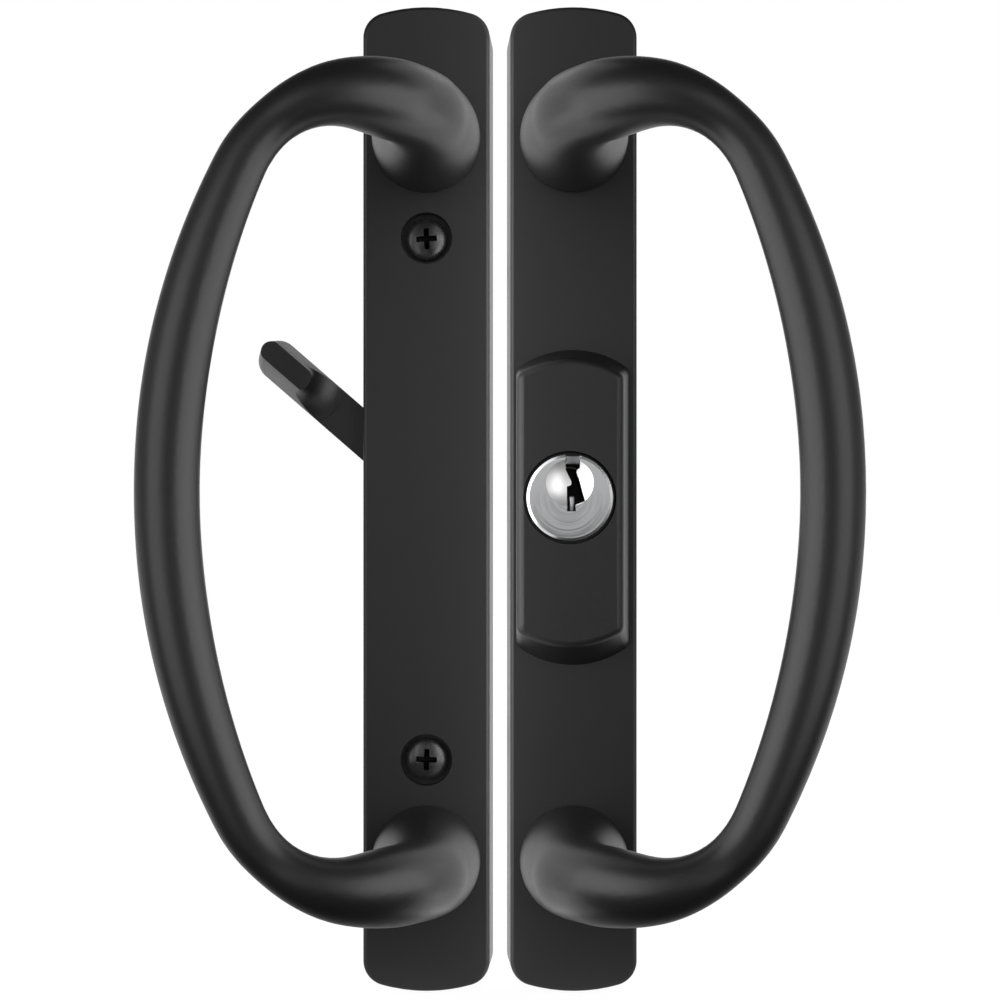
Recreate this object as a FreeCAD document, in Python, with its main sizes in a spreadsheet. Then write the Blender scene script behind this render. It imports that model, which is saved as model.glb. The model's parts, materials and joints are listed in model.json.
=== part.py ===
"""Handle set for a sliding patio door, laid out side by side as a pair.

The inside half has an arched escutcheon, a curved pull, two through screws and a thumb
lever. The outside half has the same escutcheon and a mirrored pull, with a raised lock
boss and a key cylinder. Millimetres. X runs to the right, Y into the door and Z up. Both
backs lie in the plane Y = 0, and the origin is midway between the two through screws.
Heights are measured from the door plane towards the viewer, so a height is minus Y.
"""

import FreeCAD, Part
import math
import os
import types

import Sketcher

V = FreeCAD.Vector

SIZES = (
    ("set_spacing", 28.2, "between the centre lines of the two halves"),
    ("plate_width", 25.4, "escutcheon at the door"),
    ("plate_height", 189.9, "escutcheon at the door, end to end"),
    ("plate_depth", 14.0, "door plane to the front face"),
    ("draft_angle", 2.45, "lean of the casting's walls, degrees"),
    ("end_radius", 32.2, "arch at each end of the escutcheon"),
    ("corner_radius", 4.8, "corners between the arch and the long sides"),
    ("edge_round", 0.7, "softened edge of the front face"),
    ("side_wall", 2.4, "long and end walls of the escutcheon"),
    ("front_wall", 2.4, "front face of the escutcheon"),
    ("screw_spacing", 100.0, "between the two through screws"),
    ("post_spacing", 138.1, "between the two feet of a pull"),
    ("boss_wall", 1.6, "metal round a hole in a cast boss"),
    ("head_recess", 9.9, "diameter of the recess round a through screw's head"),
    ("recess_depth", 3.3, "front face to the seat of a through screw's head"),
    ("through_shank", 4.1, "diameter of a through screw"),
    ("through_length", 57.0, "through screw under its head"),
    ("through_thread", 3.7, "mean diameter of a through screw's thread"),
    ("through_threaded", 32.0, "threaded length of a through screw"),
    ("through_head", 8.0, "diameter of a through screw's head"),
    ("through_rim", 1.1, "straight rim of a through screw's head"),
    ("through_crown", 1.5, "crown of a through screw's head"),
    ("crown_share", 0.65, "flat of that crown, as a share of the head"),
    ("shank_gap", 0.25, "round a screw in a clear hole"),
    ("thread_gap", 0.05, "round a screw or spigot in its seat"),
    ("pull_shank", 5.0, "diameter of a pull screw"),
    ("pull_engage", 12.0, "pull screw inside the foot of the pull"),
    ("pull_head", 9.0, "diameter of a pull screw's head"),
    ("pull_head_height", 3.0, "pull screw's head"),
    ("pull_seat", 2.2, "thickening of the front face behind a foot"),
    ("hole_spare", 2.0, "blind hole past the end of its screw"),
    ("foot_lip", 0.5, "shadow line under the foot, height"),
    ("foot_inset", 0.5, "shadow line under the foot, depth"),
    ("foot_radius", 10.35, "foot of the pull"),
    ("neck_radius", 7.17, "neck of the pull, in the elbow"),
    ("neck_share", 0.35, "neck, as a share of the elbow from the post"),
    ("shoulder_radius", 4.22, "thinnest section, at the shoulder"),
    ("grip_radius", 5.61, "middle of the grip"),
    ("grip_height", 57.6, "door plane to the centre line of the grip"),
    ("elbow_radius", 21.5, "bend from the post into the plane of the grip"),
    ("grip_reach", 43.1, "escutcheon's centre line to the middle of the grip"),
    ("grip_bend", 132.0, "radius of the grip's centre line"),
    ("grip_angle", 25.0, "half angle of the grip's arc, degrees"),
    ("thin_share", 0.69, "thinnest place, as a share of the shoulder's arc"),
    ("full_share", 0.83, "full grip, as a share of the way from there to the middle"),
    ("station_step", 4.0, "between the sections that shape a pull"),
    ("spindle_offset", 1.0, "spindle from the centre line, away from the grip"),
    ("lever_angle", 41.0, "lever above the level line at rest, degrees"),
    ("lever_reach", 44.0, "spindle to the tip of the lever"),
    ("lever_width", 7.8, "arm of the lever"),
    ("lever_rise", 0.8, "arm's centre line above the spindle"),
    ("lever_low", 5.0, "door plane to the back of the arm"),
    ("arm_thickness", 4.5, "arm of the lever"),
    ("tab_height", 7.5, "thumb tab above the arm"),
    ("tab_length", 18.4, "thumb tab along the arm at its root"),
    ("tab_width", 3.9, "flat top of the thumb tab"),
    ("tab_inset", 0.7, "lean of the thumb tab's end wall"),
    ("tab_offset", 0.35, "flat top above the arm's centre line"),
    ("tab_run", 6.25, "length of the hollow run-up to the thumb tab"),
    ("tab_bow", 2.7, "radius of the flat top's end above the run-up"),
    ("tab_step", 0.15, "step between the arm and the hollow run-up"),
    ("lever_gap", 0.6, "round the lever in the escutcheon's notch"),
    ("hub_margin", 1.0, "retainer outside the hub of the lever"),
    ("journal_radius", 4.5, "journals of the lever"),
    ("journal_spare", 0.5, "back journal past its retainer"),
    ("bush_wall", 1.0, "bush round the front journal"),
    ("bush_flange", 0.5, "flange of the bush, thickness"),
    ("bush_length", 2.6, "bush behind the front face's skin"),
    ("running_gap", 0.06, "round a turning journal"),
    ("face_gap", 0.1, "beside a turning face"),
    ("washer_sheet", 0.5, "spring washer, thickness"),
    ("washer_radius", 7.4, "spring washer"),
    ("plate_sheet", 1.2, "retainer and bracket, thickness"),
    ("sheet_gap", 0.3, "beside the retainer and the bracket in the escutcheon"),
    ("sheet_margin", 1.0, "retainer and bracket outside their screws' heads"),
    ("sheet_arch", 0.6, "arched ends of the retainer and the bracket, as a share of their width"),
    ("retainer_spacing", 46.0, "between the retainer's screws"),
    ("small_shank", 3.0, "diameter of a small screw"),
    ("small_length", 8.0, "small screw under its head"),
    ("small_head", 5.4, "diameter of a small screw's head"),
    ("small_head_height", 1.5, "small screw's head"),
    ("head_clear", 0.6, "small screw's head to the door plane"),
    ("tail_width", 6.4, "tailpiece bar"),
    ("tail_thickness", 1.6, "tailpiece bar"),
    ("tail_reach", 38.0, "tailpiece behind the door plane"),
    ("tail_grip", 5.0, "tailpiece inside its hub"),
    ("tail_pin", 2.0, "diameter of the pin through the tailpiece"),
    ("tail_pin_rise", 1.35, "pin above the back of the lever's arm"),
    ("boss_height", 9.0, "lock boss above the front face"),
    ("boss_width", 22.0, "lock boss at its root"),
    ("boss_top", 28.9, "lock boss above the spindle at its root"),
    ("boss_bottom", 32.3, "lock boss below the spindle at its root"),
    ("boss_lean_side", 1.05, "each side wall's run inwards"),
    ("boss_lean_top", 2.9, "top wall's run inwards"),
    ("boss_lean_bottom", 4.4, "bottom wall's run inwards"),
    ("boss_arch", 17.5, "arched ends of the lock boss"),
    ("boss_round", 1.4, "softened edge of the boss's front"),
    ("boss_corner", 1.9, "corners of the boss"),
    ("lock_bore", 17.5, "hole for the cylinder"),
    ("plug_sink", 0.2, "boss front to the face of the plug"),
    ("plug_face", 16.2, "diameter of the plug's face"),
    ("plug_head", 2.6, "plug's head, thickness"),
    ("plug_bevel", 0.5, "bevel round the plug's face"),
    ("plug_barrel", 12.7, "diameter of the plug"),
    ("plug_spare", 0.4, "plug past the back of its bracket"),
    ("plug_neck", 10.8, "diameter of the plug in the clip's groove"),
    ("cylinder_gap", 0.15, "round the cylinder in its bore"),
    ("tower_width", 7.8, "pin housing on the cylinder"),
    ("tower_top", 14.5, "spindle to the top of the pin housing"),
    ("tower_skin", 4.4, "face of the boss over the pin housing"),
    ("clip_sheet", 0.8, "clip behind the cylinder, thickness"),
    ("clip_radius", 6.9, "clip behind the cylinder"),
    ("block_top", 22.0, "lock block above the spindle"),
    ("block_bottom", 17.5, "lock block below the spindle"),
    ("bracket_high", 18.6, "bracket's upper screw above the spindle"),
    ("bracket_low", 13.6, "bracket's lower screw below the spindle"),
    ("core_wall", 3.6, "walls beside the cored space below the lock"),
    ("dimple_radius", 4.45, "polished dimple in the plug's face"),
    ("dimple_depth", 1.3, "polished dimple in the plug's face"),
    ("dimple_rise", 2.8, "dimple's centre above the spindle"),
    ("keyway_width", 2.7, "keyway where it opens at the rim"),
    ("keyway_offset", 0.57, "middle of that opening from the plug's axis"),
    ("keyway_slot", 1.65, "keyway's narrow foot"),
    ("keyway_foot", 2.56, "keyway below the spindle"),
    ("keyway_ward", 1.1, "ward that stands into the keyway from its left side"),
    ("keyway_neck", 0.6, "ward that stands into the keyway from its right side"),
    ("keyway_lobe", 0.95, "keyway's right side past its opening"),
    ("post_radius", 4.0, "threaded post"),
    ("post_reach", 10.0, "threaded post behind the door plane"),
    ("post_spigot", 5.0, "diameter of the post's spigot"),
    ("post_bore", 3.5, "diameter of the post's tapped hole"),
    ("post_seat", 4.0, "door plane to the post's seat"),
)

doc = FreeCAD.newDocument("patio_door_handle")
sheet = doc.addObject("Spreadsheet::Sheet", "Sizes")


class Size:
    """A length or angle as a cell expression together with its present value."""

    def __init__(self, text, value):
        self.text = text
        self.value = value

    def __add__(self, other):
        other = as_size(other)
        return Size(f"({self.text} + {other.text})", self.value + other.value)

    def __sub__(self, other):
        other = as_size(other)
        return Size(f"({self.text} - {other.text})", self.value - other.value)

    def __mul__(self, other):
        other = as_size(other)
        return Size(f"({self.text} * {other.text})", self.value * other.value)

    def __truediv__(self, other):
        other = as_size(other)
        return Size(f"({self.text} / {other.text})", self.value / other.value)

    def __neg__(self):
        return Size(f"(0 - {self.text})", -self.value)


def as_size(number):
    return number if isinstance(number, Size) else Size(str(number), number)


def tangent(angle):
    return Size(f"tan({angle.text})", math.tan(math.radians(angle.value)))


def cosine(angle):
    return Size(f"cos({angle.text})", math.cos(math.radians(angle.value)))


def fill_sheet():
    """One row for each driving size: its name, its value and what it is."""
    for row, (name, value, note) in enumerate(SIZES, 1):
        sheet.set(f"A{row}", name)
        sheet.set(f"B{row}", str(value))
        sheet.setAlias(f"B{row}", name)
        sheet.set(f"C{row}", note)
    doc.recompute()
    return types.SimpleNamespace(
        **{name: Size(f"Sizes.{name}", value) for name, value, _ in SIZES}
    )


s = fill_sheet()
ZERO = as_size(0)

# Heights and places that several pieces share
floor = s.plate_depth - s.front_wall
screw_seat = s.plate_depth - s.recess_depth
pull_back = floor - s.pull_seat
arm_top = s.lever_low + s.arm_thickness
bush_seat = arm_top + s.face_gap + s.bush_flange
bush_end = bush_seat + s.bush_length
tail_pin_height = s.lever_low + s.tail_pin_rise
retainer_front = s.lever_low - s.washer_sheet * 2
retainer_back = retainer_front - s.plate_sheet
boss_front = s.plate_depth + s.boss_height
plug_front = boss_front - s.plug_sink
plug_back = plug_front - s.plug_head
cylinder_front = plug_back - s.face_gap
bracket_front = s.plate_sheet + s.small_head_height + s.head_clear
bracket_back = bracket_front - s.plate_sheet
outside_axis = s.set_spacing - s.spindle_offset
sheet_width = s.plate_width - (s.side_wall + s.spindle_offset + s.sheet_gap) * 2
sheet_end = s.small_head / 2 + s.sheet_margin
hub_radius = sheet_width / 2 - s.hub_margin
plug_end = bracket_back - s.plug_spare


def bind(item, prop, size):
    item.setExpression(prop, size.text)


def new_body(label):
    body = doc.addObject("PartDesign::Body", label)
    body.Label = label
    return body


def new_sketch(body, height=ZERO, role="XZ_Plane"):
    """A sketch parallel to the door, or on another origin plane of its body."""
    sketch = body.newObject("Sketcher::SketchObject", f"{body.Name}_sketch")
    plane = [f for f in body.Origin.OriginFeatures if f.Role == role][0]
    sketch.AttachmentSupport = [(plane, "")]
    sketch.MapMode = "FlatFace"
    bind(sketch, "AttachmentOffset.Base.z", height)
    return sketch


def fix(sketch, kind, *places, size):
    """Add a dimension to a sketch and tie it to the sheet."""
    index = sketch.addConstraint(Sketcher.Constraint(kind, *places, size.value))
    bind(sketch, f"Constraints[{index}]", size)


def add_circle(sketch, x, z, diameter):
    circle = Part.Circle(V(x.value, z.value, 0), V(0, 0, 1), diameter.value / 2)
    index = sketch.addGeometry(circle, False)
    fix(sketch, "DistanceX", -1, 1, index, 3, size=x)
    fix(sketch, "DistanceY", -1, 1, index, 3, size=z)
    fix(sketch, "Diameter", index, size=diameter)


def add_rectangle(sketch, left, right, low, high):
    corners = [
        V(left.value, low.value, 0),
        V(right.value, low.value, 0),
        V(right.value, high.value, 0),
        V(left.value, high.value, 0),
    ]
    lines = [
        sketch.addGeometry(Part.LineSegment(corners[i], corners[(i + 1) % 4]), False)
        for i in range(4)
    ]
    for i in range(4):
        sketch.addConstraint(
            Sketcher.Constraint("Coincident", lines[i], 2, lines[(i + 1) % 4], 1)
        )
    for i, kind in enumerate(("Horizontal", "Vertical", "Horizontal", "Vertical")):
        sketch.addConstraint(Sketcher.Constraint(kind, lines[i]))
    fix(sketch, "DistanceX", -1, 1, lines[0], 1, size=left)
    fix(sketch, "DistanceX", -1, 1, lines[0], 2, size=right)
    fix(sketch, "DistanceY", -1, 1, lines[0], 1, size=low)
    fix(sketch, "DistanceY", -1, 1, lines[2], 1, size=high)


def add_arched(sketch, centre, width, low, high, radius):
    """An upright outline with straight sides and an arc across each end."""
    left = centre - width / 2
    right = centre + width / 2
    half = math.asin(width.value / 2 / radius.value)
    drop = radius.value * (1 - math.cos(half))
    up = V(0, 0, 1)
    top_mid = V(centre.value, high.value - radius.value, 0)
    low_mid = V(centre.value, low.value + radius.value, 0)
    top_circle = Part.Circle(top_mid, up, radius.value)
    low_circle = Part.Circle(low_mid, up, radius.value)
    quarter = math.pi / 2
    pieces = (
        Part.LineSegment(V(right.value, low.value + drop, 0), V(right.value, high.value - drop, 0)),
        Part.ArcOfCircle(top_circle, quarter - half, quarter + half),
        Part.LineSegment(V(left.value, high.value - drop, 0), V(left.value, low.value + drop, 0)),
        Part.ArcOfCircle(low_circle, 3 * quarter - half, 3 * quarter + half),
    )
    side_r, arc_t, side_l, arc_b = [sketch.addGeometry(p, False) for p in pieces]
    for first, second in ((side_r, arc_t), (arc_t, side_l), (side_l, arc_b), (arc_b, side_r)):
        sketch.addConstraint(Sketcher.Constraint("Coincident", first, 2, second, 1))
    sketch.addConstraint(Sketcher.Constraint("Vertical", side_r))
    sketch.addConstraint(Sketcher.Constraint("Vertical", side_l))
    sketch.addConstraint(Sketcher.Constraint("Horizontal", side_r, 2, side_l, 1))
    sketch.addConstraint(Sketcher.Constraint("Horizontal", side_r, 1, side_l, 2))
    fix(sketch, "DistanceX", -1, 1, side_r, 1, size=right)
    fix(sketch, "DistanceX", -1, 1, side_l, 1, size=left)
    fix(sketch, "Radius", arc_t, size=radius)
    fix(sketch, "Radius", arc_b, size=radius)
    fix(sketch, "DistanceY", -1, 1, arc_t, 3, size=high - radius)
    fix(sketch, "DistanceY", -1, 1, arc_b, 3, size=low + radius)


def volume_of(body):
    return body.Shape.Volume if body.Tip else 0.0


def extrude(body, kind, sketch, length, reverse, lean=None):
    """A pad or a pocket, checked for having added or removed metal."""
    before = volume_of(body)
    feature = body.newObject(f"PartDesign::{kind}", f"{body.Name}_{kind}")
    feature.Profile = sketch
    feature.Reversed = reverse
    bind(feature, "Length", length)
    if lean is not None:
        bind(feature, "TaperAngle", lean)
    doc.recompute()
    change = body.Shape.Volume - before
    if (change > 0) != (kind == "Pad") or abs(change) < 0.01:
        state = feature.getStatusString()
        raise ValueError(f"{feature.Name} changed the volume by {change:.3f}: {state}")
    return feature


def pad_front(body, sketch, length, lean=None):
    return extrude(body, "Pad", sketch, length, False, lean)


def pocket_front(body, sketch, length, lean=None):
    """Cut from the sketch towards the viewer."""
    return extrude(body, "Pocket", sketch, length, True, lean)


def pocket_back(body, sketch, length, lean=None):
    """Cut from the sketch towards the door."""
    return extrude(body, "Pocket", sketch, length, False, lean)


def dress(body, kind, prop, size, wanted):
    """Round or bevel the edges of the body that the test picks."""
    edges = [f"Edge{i}" for i, edge in enumerate(body.Shape.Edges, 1) if wanted(edge)]
    if not edges:
        raise ValueError(f"{body.Label} has no edge to dress")
    base = body.Tip
    feature = body.newObject(f"PartDesign::{kind}", f"{body.Name}_{kind}")
    feature.Base = (base, edges)
    bind(feature, prop, size)
    doc.recompute()
    return feature


def flat_at(edge, height):
    """Whether an edge lies in the plane at this height from the door."""
    box = edge.BoundBox
    return abs(box.YMin + height.value) < 0.001 and abs(box.YMax + height.value) < 0.001


def rises(edge):
    """Whether an edge runs mainly from the door towards the viewer."""
    box = edge.BoundBox
    return box.YLength > max(box.XLength, box.ZLength) and box.YLength > 1


def rod(label, radius, low, high, x=ZERO, z=ZERO):
    """A round rod square to the door, between two heights."""
    item = doc.addObject("Part::Cylinder", label)
    item.Placement = FreeCAD.Placement(V(), FreeCAD.Rotation(V(1, 0, 0), 90))
    bind(item, "Radius", radius)
    bind(item, "Height", high - low)
    place(item, x, -low, z)
    return item


def cone(label, low_radius, high_radius, low, high, x=ZERO, z=ZERO):
    item = doc.addObject("Part::Cone", label)
    item.Placement = FreeCAD.Placement(V(), FreeCAD.Rotation(V(1, 0, 0), 90))
    bind(item, "Radius1", low_radius)
    bind(item, "Radius2", high_radius)
    bind(item, "Height", high - low)
    place(item, x, -low, z)
    return item


def bar(label, x_size, z_size, low, high, x=ZERO, z=ZERO):
    """A square-edged bar centred on an axis square to the door."""
    item = doc.addObject("Part::Box", label)
    bind(item, "Length", x_size)
    bind(item, "Width", high - low)
    bind(item, "Height", z_size)
    place(item, x - x_size / 2, -high, z - z_size / 2)
    return item


def place(item, x, y, z):
    bind(item, "Placement.Base.x", x)
    bind(item, "Placement.Base.y", y)
    bind(item, "Placement.Base.z", z)


def fuse(label, pieces):
    item = doc.addObject("Part::MultiFuse", label)
    item.Shapes = pieces
    item.Label = label
    return item


def cut(label, base, tools):
    item = doc.addObject("Part::Cut", label)
    item.Base = base
    item.Tool = tools[0] if len(tools) == 1 else fuse(f"{label}_tools", tools)
    item.Label = label
    return item


def group(label, pieces):
    item = doc.addObject("Part::Compound", label)
    item.Links = pieces
    item.Label = label
    return item


def both_ends(spacing):
    """The two places on the centre line that a spacing sets."""
    return (spacing / 2, -(spacing / 2))


def add_bosses(body, low, diameter, places, x=ZERO):
    """Round bosses that stand on the inside of the front face."""
    sketch = new_sketch(body, low)
    for z in places:
        add_circle(sketch, x, z, diameter)
    pad_front(body, sketch, floor - low + s.front_wall / 2)


def add_holes(body, low, high, diameter, places, x=ZERO):
    """Round holes square to the door, from a low height to a high one."""
    sketch = new_sketch(body, low)
    for z in places:
        add_circle(sketch, x, z, diameter)
    pocket_front(body, sketch, high - low)


def shell(label):
    """The drafted, hollow casting that both halves start from, with the pull's seats."""
    body = new_body(label)
    half = s.plate_height / 2
    outline = new_sketch(body)
    add_arched(outline, ZERO, s.plate_width, -half, half, s.end_radius)
    pad_front(body, outline, s.plate_depth, -s.draft_angle)
    dress(body, "Fillet", "Radius", s.corner_radius, rises)
    dress(body, "Fillet", "Radius", s.edge_round, lambda e: flat_at(e, s.plate_depth))
    hollow = new_sketch(body)
    inner = half - s.side_wall
    inner_width = s.plate_width - s.side_wall * 2
    add_arched(hollow, ZERO, inner_width, -inner, inner, s.end_radius - s.side_wall)
    pocket_front(body, hollow, floor, -s.draft_angle)
    feet = both_ends(s.post_spacing)
    seat = s.pull_head + s.boss_wall * 2
    add_bosses(body, pull_back, seat, feet)
    add_holes(body, ZERO, s.plate_depth, s.pull_shank + s.shank_gap * 2, feet)
    return body


def inside_escutcheon():
    body = shell("inside_escutcheon")
    screws = both_ends(s.screw_spacing)
    add_bosses(body, ZERO, s.head_recess + s.boss_wall * 2, screws)
    add_holes(body, ZERO, s.plate_depth, s.through_shank + s.shank_gap * 2, screws)
    recess = new_sketch(body, s.plate_depth)
    for z in screws:
        add_circle(recess, ZERO, z, s.head_recess)
    pocket_back(body, recess, s.recess_depth)
    axis = s.spindle_offset
    bush_bore = (s.journal_radius + s.running_gap + s.bush_wall + s.thread_gap) * 2
    add_bosses(body, bush_seat, bush_bore + s.boss_wall * 2, (ZERO,), axis)
    add_holes(body, bush_seat, bush_end, bush_bore, (ZERO,), axis)
    small = both_ends(s.retainer_spacing)
    add_bosses(body, retainer_front, s.small_shank + s.boss_wall * 2, small, axis)
    bore = s.small_shank + s.thread_gap * 2
    bore_end = retainer_back + s.small_length + s.hole_spare / 2
    add_holes(body, retainer_front, bore_end, bore, small, axis)
    # The lever's notch is open to the door, and its ends stop the lever
    reach = s.plate_width / 2 + s.spindle_offset
    climb = reach * tangent(s.lever_angle)
    slant = cosine(s.lever_angle)
    top = climb + (s.lever_width / 2 + s.lever_rise) / slant + s.lever_gap
    bottom = climb + (s.lever_width / 2 - s.lever_rise) / slant + s.lever_gap
    notch = new_sketch(body)
    outer = -(s.plate_width / 2 + s.side_wall)
    add_rectangle(notch, outer, -(s.plate_width / 2 - s.side_wall * 2), -bottom, top)
    pocket_front(body, notch, arm_top + s.lever_gap / 2)
    return body


def outside_escutcheon():
    body = shell("outside_escutcheon")
    axis = -s.spindle_offset
    root = new_sketch(body, s.plate_depth - s.front_wall / 2)
    add_arched(root, ZERO, s.boss_width, -s.boss_bottom, s.boss_top, s.boss_arch)
    face = new_sketch(body, boss_front)
    face_width = s.boss_width - s.boss_lean_side * 2
    face_low = -(s.boss_bottom - s.boss_lean_bottom)
    add_arched(face, axis, face_width, face_low, s.boss_top - s.boss_lean_top, s.boss_arch)
    loft = body.newObject("PartDesign::AdditiveLoft", "lock_boss")
    loft.Profile = root
    loft.Sections = [face]
    loft.Ruled = True
    doc.recompute()
    dress(
        body,
        "Fillet",
        "Radius",
        s.boss_corner,
        lambda e: rises(e) and e.BoundBox.YMin < -boss_front.value + 0.01,
    )
    dress(body, "Fillet", "Radius", s.boss_round, lambda e: flat_at(e, boss_front))
    block = new_sketch(body, bracket_front)
    block_half = s.plate_width / 2 - s.side_wall / 2
    add_rectangle(block, -block_half, block_half, -s.block_bottom, s.block_top)
    pad_front(body, block, floor - bracket_front + s.front_wall / 2)
    add_holes(body, ZERO, boss_front, s.lock_bore, (ZERO,), axis)
    tower = new_sketch(body)
    tower_half = s.tower_width / 2 + s.cylinder_gap
    add_rectangle(tower, axis - tower_half, axis + tower_half, ZERO, s.tower_top + s.cylinder_gap)
    pocket_front(body, tower, boss_front - s.tower_skin)
    bore = s.small_shank + s.thread_gap * 2
    bore_end = bracket_back + s.small_length + s.hole_spare / 2
    add_holes(body, bracket_front, bore_end, bore, (s.bracket_high, -s.bracket_low), axis)
    core = new_sketch(body)
    core_half = s.boss_width / 2 - s.core_wall
    core_top = -(s.block_bottom + s.side_wall / 2)
    core_low = -(s.boss_bottom - s.boss_lean_bottom - s.side_wall)
    add_rectangle(core, axis - core_half, axis + core_half, core_low, core_top)
    pocket_front(body, core, boss_front - s.front_wall)
    screws = both_ends(s.screw_spacing)
    add_bosses(body, s.post_seat, s.post_radius * 2 + s.boss_wall, screws)
    add_holes(body, s.post_seat, floor, s.post_spigot + s.thread_gap * 2, screws)
    bind(body, "Placement.Base.x", s.set_spacing)
    return body


def pull_stations():
    """Centre, direction, seam direction and radius along one pull, from foot to foot."""
    foot = s.post_spacing.value / 2
    top = s.grip_height.value
    bend = s.grip_bend.value
    bend_x = bend - s.grip_reach.value
    angle = math.radians(s.grip_angle.value)
    quarter = math.pi / 2
    # Seen from the front, a level run leaves the foot, and the shoulder's arc joins it to the grip's arc
    shoulder = (foot - bend * math.sin(angle)) / (1 - math.sin(angle))
    shoulder_x = bend_x - (bend - shoulder) * math.cos(angle)
    shoulder_z = (bend - shoulder) * math.sin(angle)
    level = -shoulder_x
    shoulder_length = shoulder * (quarter - angle)
    front_length = level + shoulder_length + bend * angle
    # Seen from the side, the straight post bends through the elbow into the plane of the grip
    elbow = s.elbow_radius.value
    start = s.plate_depth.value + s.foot_lip.value
    post_length = top - elbow - start
    elbow_length = elbow * quarter
    half_length = post_length + elbow_length + front_length - elbow

    def front_spot(run):
        """The place, direction and outward side at a distance along the front view."""
        if run < level:
            return V(-run, 0, foot), V(-1, 0, 0), V(0, 0, 1)
        if run < level + shoulder_length:
            a = quarter - (run - level) / shoulder
            middle, radius = V(shoulder_x, 0, shoulder_z), shoulder
        else:
            a = angle - (run - level - shoulder_length) / bend
            middle, radius = V(bend_x, 0, 0), bend
        out = V(-math.cos(a), 0, math.sin(a))
        return middle + out * radius, V(-math.sin(a), 0, -math.cos(a)), out

    def spot(run):
        """The place, direction and seam at a distance from the upper foot."""
        turn = min(quarter, max(0, run - post_length) / elbow)
        front_run = elbow * (1 - math.cos(turn)) + max(0, run - post_length - elbow_length)
        height = start + min(run, post_length) + elbow * math.sin(turn)
        centre, along, out = front_spot(front_run)
        return centre + V(0, -height, 0), along * math.sin(turn) + V(0, -math.cos(turn), 0), out

    neck_at = post_length + elbow_length * s.neck_share.value
    thin_front = level + shoulder_length * s.thin_share.value
    thin_at = post_length + elbow_length + thin_front - elbow
    full_at = thin_at + (half_length - thin_at) * s.full_share.value
    foot_radius = s.foot_radius.value
    neck = s.neck_radius.value
    thin = s.shoulder_radius.value
    full = s.grip_radius.value

    def ease(first, last, share):
        """From one radius to another, level at both ends."""
        return (first + last + (first - last) * math.cos(math.pi * share)) / 2

    def radius_at(run):
        """Wide at the foot, a neck round the elbow, thin at the shoulder and full in the grip."""
        if run < neck_at:
            return ease(foot_radius, neck, run / neck_at)
        if run < thin_at:
            return ease(neck, thin, (run - neck_at) / (thin_at - neck_at))
        share = min(1, (run - thin_at) / (full_at - thin_at))
        return thin + (full - thin) * math.sin(quarter * share)

    count = round(half_length / s.station_step.value)
    runs = [half_length * i / count for i in range(count + 1)]
    upper = [(*spot(run), radius_at(run)) for run in runs]
    lower = [
        (V(c.x, c.y, -c.z), V(-t.x, -t.y, t.z), V(n.x, n.y, -n.z), r)
        for c, t, n, r in reversed(upper[:-1])
    ]
    return upper + lower


def round_skin(stations):
    """A smooth skin that is an exact circle at each station, closed by a flat cap at each end."""
    diagonal = math.sqrt(0.5)
    turns = 8
    rows = []
    for turn in range(turns + 1):
        angle = 2 * math.pi * turn / turns
        spread = 1 if turn % 2 == 0 else 1 / diagonal
        points = [
            centre + (seam * math.cos(angle) + along.cross(seam) * math.sin(angle)) * (radius * spread)
            for centre, along, seam, radius in stations
        ]
        row = Part.BSplineCurve()
        row.interpolate(Points=points, Parameters=[float(i) for i in range(len(points))])
        rows.append(row)
    poles = [row.getPoles() for row in rows]
    weights = [[1 if i % 2 == 0 else diagonal] * len(line) for i, line in enumerate(poles)]
    skin = Part.BSplineSurface()
    skin.buildFromPolesMultsKnots(
        poles,
        (3, 2, 2, 2, 3),
        rows[0].getMultiplicities(),
        (0, 1, 2, 3, 4),
        rows[0].getKnots(),
        False,
        False,
        2,
        rows[0].Degree,
        weights,
    )
    side = skin.toShape()
    ends = [edge for edge in side.Edges if edge.isClosed()]
    caps = [Part.Face(Part.Wire(edge)) for edge in ends]
    if len(caps) != 2:
        raise ValueError(f"the pull's skin has {len(caps)} ends")
    shell_faces = Part.Shell([side] + caps)
    shell_faces.sewShape()
    return Part.Solid(shell_faces)


def pull(label, side, x):
    """A round grip that swells and thins along its bend, from foot to foot."""
    stations = [
        (
            V(-side * centre.x, centre.y, centre.z),
            V(-side * along.x, along.y, along.z),
            V(-side * seam.x, seam.y, seam.z),
            radius,
        )
        for centre, along, seam, radius in pull_stations()
    ]
    grip = doc.addObject("Part::Feature", f"{label}_grip")
    grip.Shape = round_skin(stations)
    bind(grip, "Placement.Base.x", x)
    lip_top = s.plate_depth + s.foot_lip
    pieces = [grip]
    holes = []
    for z in both_ends(s.post_spacing):
        lip_radius = s.foot_radius - s.foot_inset
        pieces.append(rod(f"{label}_lip", lip_radius, s.plate_depth, lip_top, x, z))
        depth = s.plate_depth + s.pull_engage + s.hole_spare
        bore = s.pull_shank / 2 + s.thread_gap
        holes.append(rod(f"{label}_hole", bore, s.plate_depth, depth, x, z))
    return cut(label, fuse(f"{label}_whole", pieces), holes)


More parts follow.
